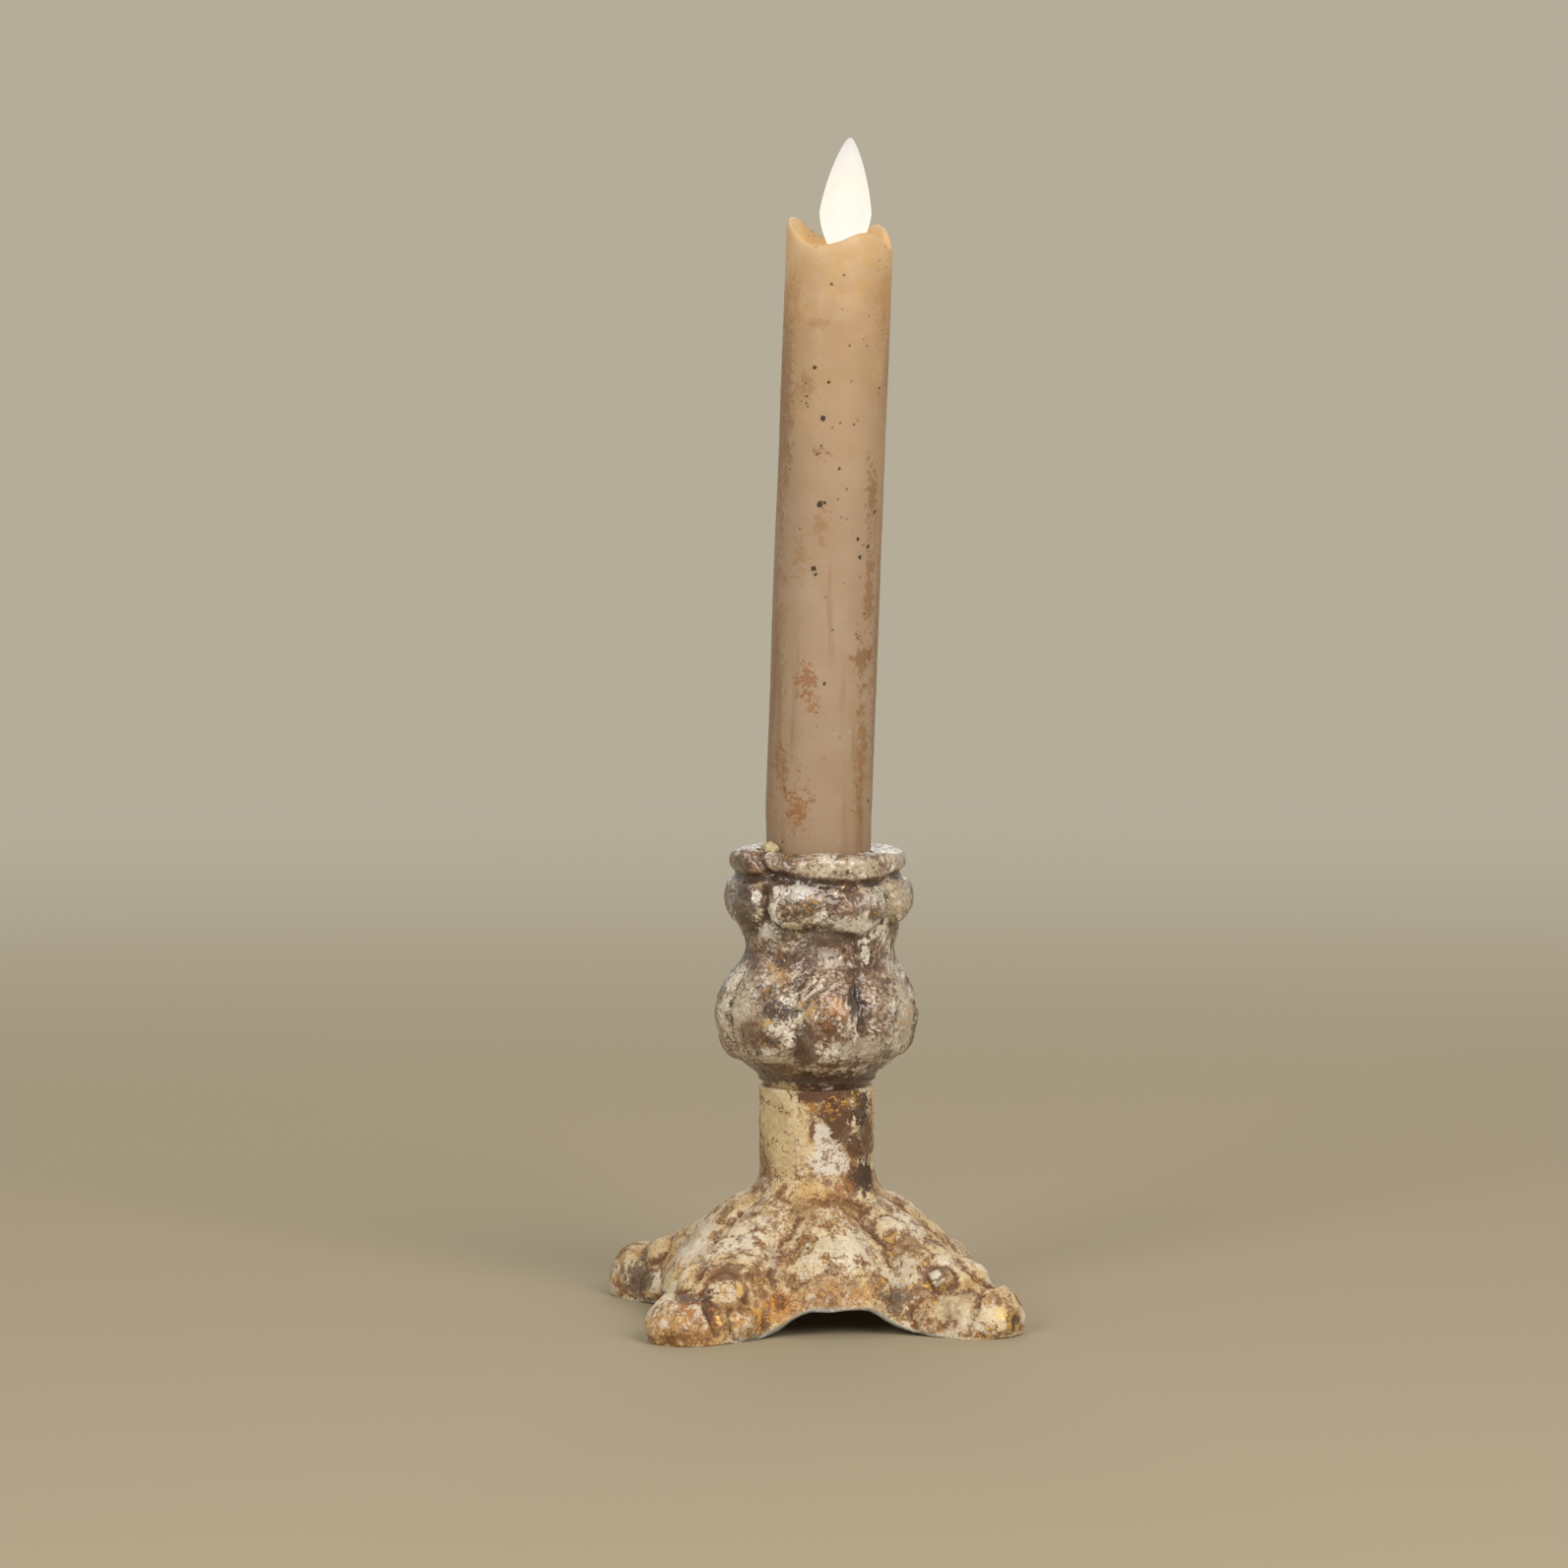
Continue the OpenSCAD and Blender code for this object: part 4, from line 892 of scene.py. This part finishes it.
# Each speck: turn, height, radius in mm.
WAX_SPECKS = [
    (-122, 120.4, 0.5), (-106, 117.5, 0.3), (-130, 114.4, 0.45), (-129, 113.0, 0.3), (-111, 110.0, 0.6),
    (-111, 92.4, 0.7), (-106, 92.7, 0.4), (-123, 93.1, 0.35), (-115, 79.0, 0.6), (-113, 77.8, 0.35),
    (-141, 77.1, 0.35), (-63, 81.6, 0.45), (-67, 85.4, 0.4), (-43, 91.0, 0.45), (-52, 83.8, 0.4),
    (-91, 99.8, 0.3), (-99, 55.3, 0.35), (-54, 69.9, 0.35), (-94, 139.5, 0.35), (-107, 137.7, 0.35),
    (-33, 31.0, 0.4), (-147, 35.7, 0.4), (-42, 116.5, 0.35), (-112, 104.4, 0.35), (-116, 102.6, 0.3),
]

# %% Wax of the candle
wax_finish, tree, shader = new_material("tinted_dipped_wax", {
    "IOR": 1.44, "Roughness": 0.5, "Subsurface Weight": 0.25, "Subsurface Scale": 2.5 * MM,
    "Subsurface Radius": (1.0, 0.55, 0.3)})
coords = add_node(tree, "TexCoord", out=3)
height_of = add_node(tree, "SeparateXYZ", {0: coords}, out=2)
up = add_node(tree, "MapRange", {"Value": height_of, "From Min": 95 * MM, "From Max": 228 * MM})
body_colour = add_node(tree, "ValToRGB", {"Fac": up}, stops=[
    (0.0, "a78f78"), (0.3, "b19c86"), (0.55, "b39b84"), (0.78, "bba081"), (0.9, "b6997a"), (1.0, "cfb48f")])
cloud = add_node(tree, "TexNoise", {"Vector": coords, "Scale": per_mm(9), "Detail": 4.0})
cloudy = add_node(tree, "MapRange", {"Value": cloud, "From Min": 0.3, "From Max": 0.7, "To Min": 0.0,
                                     "To Max": 0.4})
colour = add_node(tree, "Mix", {0: cloudy, 6: body_colour, 7: paint("a07f5e")}, out=2, data_type="RGBA")
near_top = add_node(tree, "MapRange", {"Value": up, "From Min": 0.6, "From Max": 0.95})
for shift, stain, most in ((1, "c79c5c", 0.4), (5, "d6c0a6", 0.3)):                      # ochre patches, then pale pinkish ones
    patch = add_node(tree, "TexNoise", {"Vector": coords, "Scale": per_mm(5.5), "W": shift, "Detail": 5.0,
                                        "Roughness": 0.6}, noise_dimensions="4D")
    patch = add_node(tree, "MapRange", {"Value": patch, "From Min": 0.44, "From Max": 0.68, "To Max": most},
                     interpolation_type="SMOOTHSTEP")
    patch = add_node(tree, "Math", {0: patch, 1: near_top}, operation="MULTIPLY")
    colour = add_node(tree, "Mix", {0: patch, 6: colour, 7: paint(stain)}, out=2, data_type="RGBA")
tall = add_node(tree, "VectorMath", {0: coords, 1: (1, 1, 0.09)}, operation="MULTIPLY")
runs = add_node(tree, "TexNoise", {"Vector": tall, "Scale": per_mm(4.5), "Detail": 5.0, "Roughness": 0.6})
runs = add_node(tree, "MapRange", {"Value": runs, "From Min": 0.56, "From Max": 0.72, "To Max": 0.55},
                interpolation_type="SMOOTHSTEP")
low_down = add_node(tree, "MapRange", {"Value": up, "From Min": 0.8, "From Max": 0.3})
runs = add_node(tree, "Math", {0: runs, 1: low_down}, operation="MULTIPLY")
colour = add_node(tree, "Mix", {0: runs, 6: colour, 7: paint("8a6236")}, out=2, data_type="RGBA")
dust = add_node(tree, "TexVoronoi", {"Vector": coords, "Scale": per_mm(2.2), "Randomness": 1.0})
dust = add_node(tree, "MapRange", {"Value": dust, "From Min": 0.15, "From Max": 0.1, "To Max": 0.8})
dust_here = add_node(tree, "TexNoise", {"Vector": coords, "Scale": per_mm(12), "Detail": 2.0})
dust_here = add_node(tree, "MapRange", {"Value": dust_here, "From Min": 0.45, "From Max": 0.6})
dust = add_node(tree, "Math", {0: dust, 1: dust_here}, operation="MULTIPLY")
colour = add_node(tree, "Mix", {0: dust, 6: colour, 7: paint("4e3a28")}, out=2, data_type="RGBA")
patterns = finish_patterns(tree, coords)
for hex_value, turn_deg, up_mm, wide_mm, tall_mm, strength, loose in WAX_STAINS_AND_EDGE_SHADE:
    stain = (on_wax(turn_deg, up_mm), (wide_mm, wide_mm, tall_mm), strength, loose)
    mask = dab_mask(tree, patterns, coords, stain)
    colour = add_node(tree, "Mix", {0: mask, 6: colour, 7: paint(hex_value)}, out=2, data_type="RGBA")
for turn_deg, up_mm, radius_mm in WAX_SPECKS:
    off_speck = add_node(tree, "VectorMath", {0: coords, 1: on_wax(turn_deg, up_mm) * MM}, out=1,
                         operation="DISTANCE")
    off_speck = add_node(tree, "Math", {0: patterns["grain"], 1: 1.2 * MM, 2: off_speck}, operation="MULTIPLY_ADD")
    speck = add_node(tree, "MapRange", {"Value": off_speck, "From Min": (radius_mm + 0.66) * MM,
                                        "From Max": (radius_mm + 0.5) * MM, "To Max": 0.95})
    colour = add_node(tree, "Mix", {0: speck, 6: colour, 7: paint("2c1d10")}, out=2, data_type="RGBA")
scuff = add_node(tree, "TexNoise", {"Vector": coords, "Scale": per_mm(2.2), "Detail": 6.0, "Roughness": 0.7})
scuff = add_node(tree, "MapRange", {"Value": scuff, "From Min": 0.6, "From Max": 0.75, "To Max": 0.3})
colour = add_node(tree, "Mix", {0: scuff, 6: colour, 7: paint("d5c3ab")}, out=2, data_type="RGBA")
# Round the lamp, in the recess at the flame's foot, the wax is painted darker orange: painted shade of the recess,
# warmed by the lamp. It also glows there, and faintly in the top 30 mm of the candle: painted light from the lamp.
lamp_away = add_node(tree, "VectorMath", {0: coords, 1: Vector((5.2, 0, 221.5)) * MM}, out=1,
                     operation="DISTANCE")
lamp_near = add_node(tree, "MapRange", {"Value": lamp_away, "From Min": 11.5 * MM, "From Max": 8.0 * MM},
                     interpolation_type="SMOOTHSTEP")
colour = add_node(tree, "Mix", {0: lamp_near, 6: colour, 7: paint("a87a3c")}, out=2, data_type="RGBA")
glow = add_node(tree, "MapRange", {"Value": height_of, "From Min": 196 * MM, "From Max": 226 * MM,
                                   "To Max": 0.13}, interpolation_type="SMOOTHSTEP")
glow = add_node(tree, "Math", {0: lamp_near, 1: 0.3, 2: glow}, operation="MULTIPLY_ADD")
height_map = add_node(tree, "Math", {0: cloud, 1: 0.5, 2: scuff}, operation="MULTIPLY_ADD")
bump = add_node(tree, "Bump", {"Strength": 0.5, "Distance": 0.15 * MM, "Height": height_map})
shader.inputs["Emission Color"].default_value = paint("ffd08c")
for socket, value in {"Base Color": colour, "Normal": bump, "Emission Strength": glow}.items():
    tree.links.new(value, shader.inputs[socket])
wax.data.materials.append(wax_finish)

# %% Fixing wax
soft_wax, tree, shader = new_material("soft_pale_fixing_wax", {
    "IOR": 1.44, "Roughness": 0.7, "Subsurface Weight": 0.1, "Subsurface Scale": 1.0 * MM})
coords = add_node(tree, "TexCoord", out=3)
smear = add_node(tree, "TexNoise", {"Vector": coords, "Scale": per_mm(1.6), "Detail": 4.0})
colour = add_node(tree, "ValToRGB", {"Fac": smear}, stops=[(0.35, "b8a883"), (0.52, "c6b894"), (0.7, "cfc3a3")])
bump = add_node(tree, "Bump", {"Strength": 0.5, "Distance": 0.15 * MM, "Height": smear})
for socket, value in {"Base Color": colour, "Normal": bump}.items():
    tree.links.new(value, shader.inputs[socket])
lump.data.materials.append(soft_wax)

# %% [markdown]
# ## The lit flame
# The shell is frosted polycarbonate, lit from low down on one side. It glows almost white, warmer near its
# foot and a little dimmer and cooler at its tip, where less of the lamp's light reaches it.

# %% Flame finish
flame_finish, tree, shader = new_material("frosted_lit_polycarbonate", {"IOR": 1.58, "Roughness": 0.6})
coords = add_node(tree, "TexCoord", out=3)
height_of = add_node(tree, "SeparateXYZ", {0: coords}, out=2)
up = add_node(tree, "MapRange", {"Value": height_of, "From Min": 221 * MM, "From Max": 245.6 * MM})
frost = add_node(tree, "TexNoise", {"Vector": coords, "Scale": per_mm(3), "Detail": 3.0})
glow_colour = add_node(tree, "ValToRGB", {"Fac": up}, stops=[
    (0.0, "ffe9c0"), (0.15, "fffaee"), (0.6, "fdf3e2"), (0.85, "f3ece2"), (1.0, "e6e1dc")])
veil = add_node(tree, "MapRange", {"Value": frost, "To Min": 0.96, "To Max": 1.02})
tree.links.new(glow_colour, shader.inputs["Emission Color"])
tree.links.new(veil, shader.inputs["Emission Strength"])
shader.inputs["Base Color"].default_value = paint("2a2826")
flame.data.materials.append(flame_finish)

# %% [markdown]
# ## Finishes of the pieces inside
# These show when the candle is drawn up, when the cap is off, or from below. Each still gets a finish made
# from what it is: turned brass-like copper wire, zinc-plated steel, moulded ABS.

# %% Finishes for the kept CAD nodes
def plain_finish(name, surface, stops, size_mm, stretch=(1, 1, 1), bump=0.0, roughness=None):
    """A noise-tinted finish for a small piece; stretch draws the pattern out, as brushing or drawing does."""
    material, tree, shader = new_material(name, surface)
    coords = add_node(tree, "TexCoord", out=3)
    drawn = add_node(tree, "VectorMath", {0: coords, 1: stretch}, operation="MULTIPLY")
    pattern = add_node(tree, "TexNoise", {"Vector": drawn, "Scale": per_mm(size_mm), "Detail": 5.0})
    colour = add_node(tree, "ValToRGB", {"Fac": pattern}, stops=stops)
    tree.links.new(colour, shader.inputs["Base Color"])
    if roughness:
        spread = add_node(tree, "MapRange", {"Value": pattern, "To Min": roughness[0], "To Max": roughness[1]})
        tree.links.new(spread, shader.inputs["Roughness"])
    if bump:
        relief_of = add_node(tree, "Bump", {"Strength": 0.6, "Distance": bump * MM, "Height": pattern})
        tree.links.new(relief_of, shader.inputs["Normal"])
    return material


inner_finishes = {
    "zinc_plated_steel": ({"Metallic": 1.0}, [(0.35, "9a9c9f"), (0.65, "c9cacb")], 1.2, (1, 1, 1), 0.02,
                          (0.25, 0.5), ["threaded_stud", "clamp_washer", "clamp_nut"]),
    "moulded_ivory_abs": ({"IOR": 1.54}, [(0.3, "d8ccb0"), (0.7, "e6dcc4")], 6.0, (1, 1, 1), 0.02,
                          (0.38, 0.5), ["core_tube", "pivot_cup", "battery_cap", "coil_bobbin"]),
    "drawn_spring_steel": ({"Metallic": 1.0}, [(0.35, "a9abac"), (0.65, "d2d3d3")], 0.8, (1, 1, 0.2), 0.01,
                           (0.2, 0.4), ["pivot_wire", "battery_spring"]),
    "warm_clear_led_resin": ({"IOR": 1.5, "Transmission Weight": 0.6, "Emission Strength": 0.9,
                              "Emission Color": paint("ffe2ae")}, [(0.3, "fff0cc"), (0.7, "fff7e2")], 1.0,
                             (1, 1, 1), 0.0, (0.15, 0.3), ["led"]),
    "red_pvc_insulation": ({"IOR": 1.53}, [(0.3, "7c1d18"), (0.7, "932a22")], 1.0, (1, 1, 1), 0.0,
                           (0.35, 0.5), ["lead_wires"]),
    "enamelled_copper_wire": ({"Metallic": 1.0, "Coat Weight": 0.4}, [(0.35, "8f4a26"), (0.65, "c2743f")],
                              0.25, (0.15, 0.15, 1), 0.06, (0.25, 0.45), ["coil_winding"]),
    "green_glass_epoxy": ({"IOR": 1.55}, [(0.35, "1d5a38"), (0.65, "2b7448")], 1.4, (1, 1, 1), 0.02,
                          (0.3, 0.5), ["circuit_board"]),
    "moulded_epoxy": ({"IOR": 1.55}, [(0.3, "18181a"), (0.7, "26262a")], 0.5, (1, 1, 1), 0.02,
                      (0.5, 0.65), ["control_chip"]),
    "nickel_plated_strip": ({"Metallic": 1.0}, [(0.35, "b2ab9a"), (0.65, "d6d0c1")], 0.9, (1, 1, 0.1), 0.01,
                            (0.2, 0.4), ["positive_contact", "negative_strip"]),
    "sleeved_steel_cell": ({"IOR": 1.5, "Coat Weight": 0.5}, [(0.3, "2b3137"), (0.7, "3b434b")], 5.0,
                           (1, 1, 0.3), 0.01, (0.3, 0.45), ["battery_upper", "battery_lower"]),
    "nickel_plated_magnet": ({"Metallic": 1.0}, [(0.3, "b5b5b3"), (0.7, "d9d9d6")], 2.0, (1, 1, 1), 0.0,
                             (0.08, 0.18), ["tail_magnet"]),
    "moulded_black_abs": ({"IOR": 1.54}, [(0.3, "141414"), (0.7, "222222")], 0.7, (1, 1, 1), 0.02,
                          (0.4, 0.55), ["switch_body"]),
    "moulded_grey_abs": ({"IOR": 1.54}, [(0.3, "707070"), (0.7, "848484")], 0.7, (1, 1, 1), 0.02,
                         (0.4, 0.55), ["switch_knob"]),
}
for finish, (surface, tints, size_mm, stretch, bump_mm, rough, nodes) in inner_finishes.items():
    material = plain_finish(finish, surface, tints, size_mm, stretch, bump_mm, rough)
    for name in nodes:
        node_materials = cad_nodes[name].data.materials
        node_materials.clear()
        node_materials.append(material)
print("finishes on kept nodes:", len(inner_finishes))

# %% [markdown]
# ## Floor and light
# The floor is plain and pale. Far from the object it fades into the world's own colour, so that no horizon
# crosses the picture. The light is one large soft window high on the right and in front, a weaker one at
# the left, and a pale room all round.

# %% Floor
ROOM = "b5ad9a"
bpy.ops.object.select_all(action="DESELECT")
bpy.ops.mesh.primitive_plane_add(size=24, location=(0, 0, 0))
floor = bpy.context.active_object
floor.name = "studio_floor"
floor_finish, tree, shader = new_material("pale_matt_floor", {"Roughness": 0.9, "Specular IOR Level": 0.1})
shader.inputs["Base Color"].default_value = paint("b3a890")
coords = add_node(tree, "TexCoord", out=3)
far = add_node(tree, "VectorMath", {0: coords}, out=1, operation="LENGTH")
fade = add_node(tree, "MapRange", {"Value": far, "From Min": 0.35, "From Max": 1.3},
                interpolation_type="SMOOTHSTEP")
seen = add_node(tree, "LightPath", out=0)
fade = add_node(tree, "Math", {0: fade, 1: seen}, operation="MULTIPLY")
backdrop = add_node(tree, "Emission", {"Color": paint(ROOM), "Strength": 1.0})
blended = add_node(tree, "MixShader", {0: fade, 1: shader.outputs[0], 2: backdrop})
tree.links.new(blended, tree.nodes["Material Output"].inputs["Surface"])
floor.data.materials.append(floor_finish)

# %% World
world = bpy.data.worlds.new("pale_room")
world.use_nodes = True
bpy.context.scene.world = world
tree = world.node_tree
room = tree.nodes["Background"]
room.inputs["Color"].default_value = paint("f4efe6")
room.inputs["Strength"].default_value = 0.45
wall = add_node(tree, "Background", {"Color": paint(ROOM), "Strength": 1.0})
seen = add_node(tree, "LightPath", out=0)
picked = add_node(tree, "MixShader", {0: seen, 1: room.outputs[0], 2: wall})
tree.links.new(picked, tree.nodes["World Output"].inputs["Surface"])

# %% Lamps
def soft_window(name, place, size, watts, colour):
    """A large area lamp that looks at the middle of the object."""
    data = bpy.data.lights.new(name, "AREA")
    data.shape, data.size, data.size_y = "RECTANGLE", size, size * 1.3
    data.energy, data.color = watts, paint(colour)[:3]
    lamp = bpy.data.objects.new(name, data)
    bpy.context.scene.collection.objects.link(lamp)
    lamp.location = place
    lamp.rotation_euler = (Vector((0, 0, 0.11)) - Vector(place)).to_track_quat("-Z", "Y").to_euler()
    return lamp


soft_window("window_right", (0.55, -1.35, 1.0), 0.8, 17, "fff7ec")
soft_window("window_left", (-0.95, -1.2, 0.75), 0.5, 9, "faf4ea")
soft_window("window_back", (0.2, 1.5, 1.0), 1.0, 6, "fbf7f0")
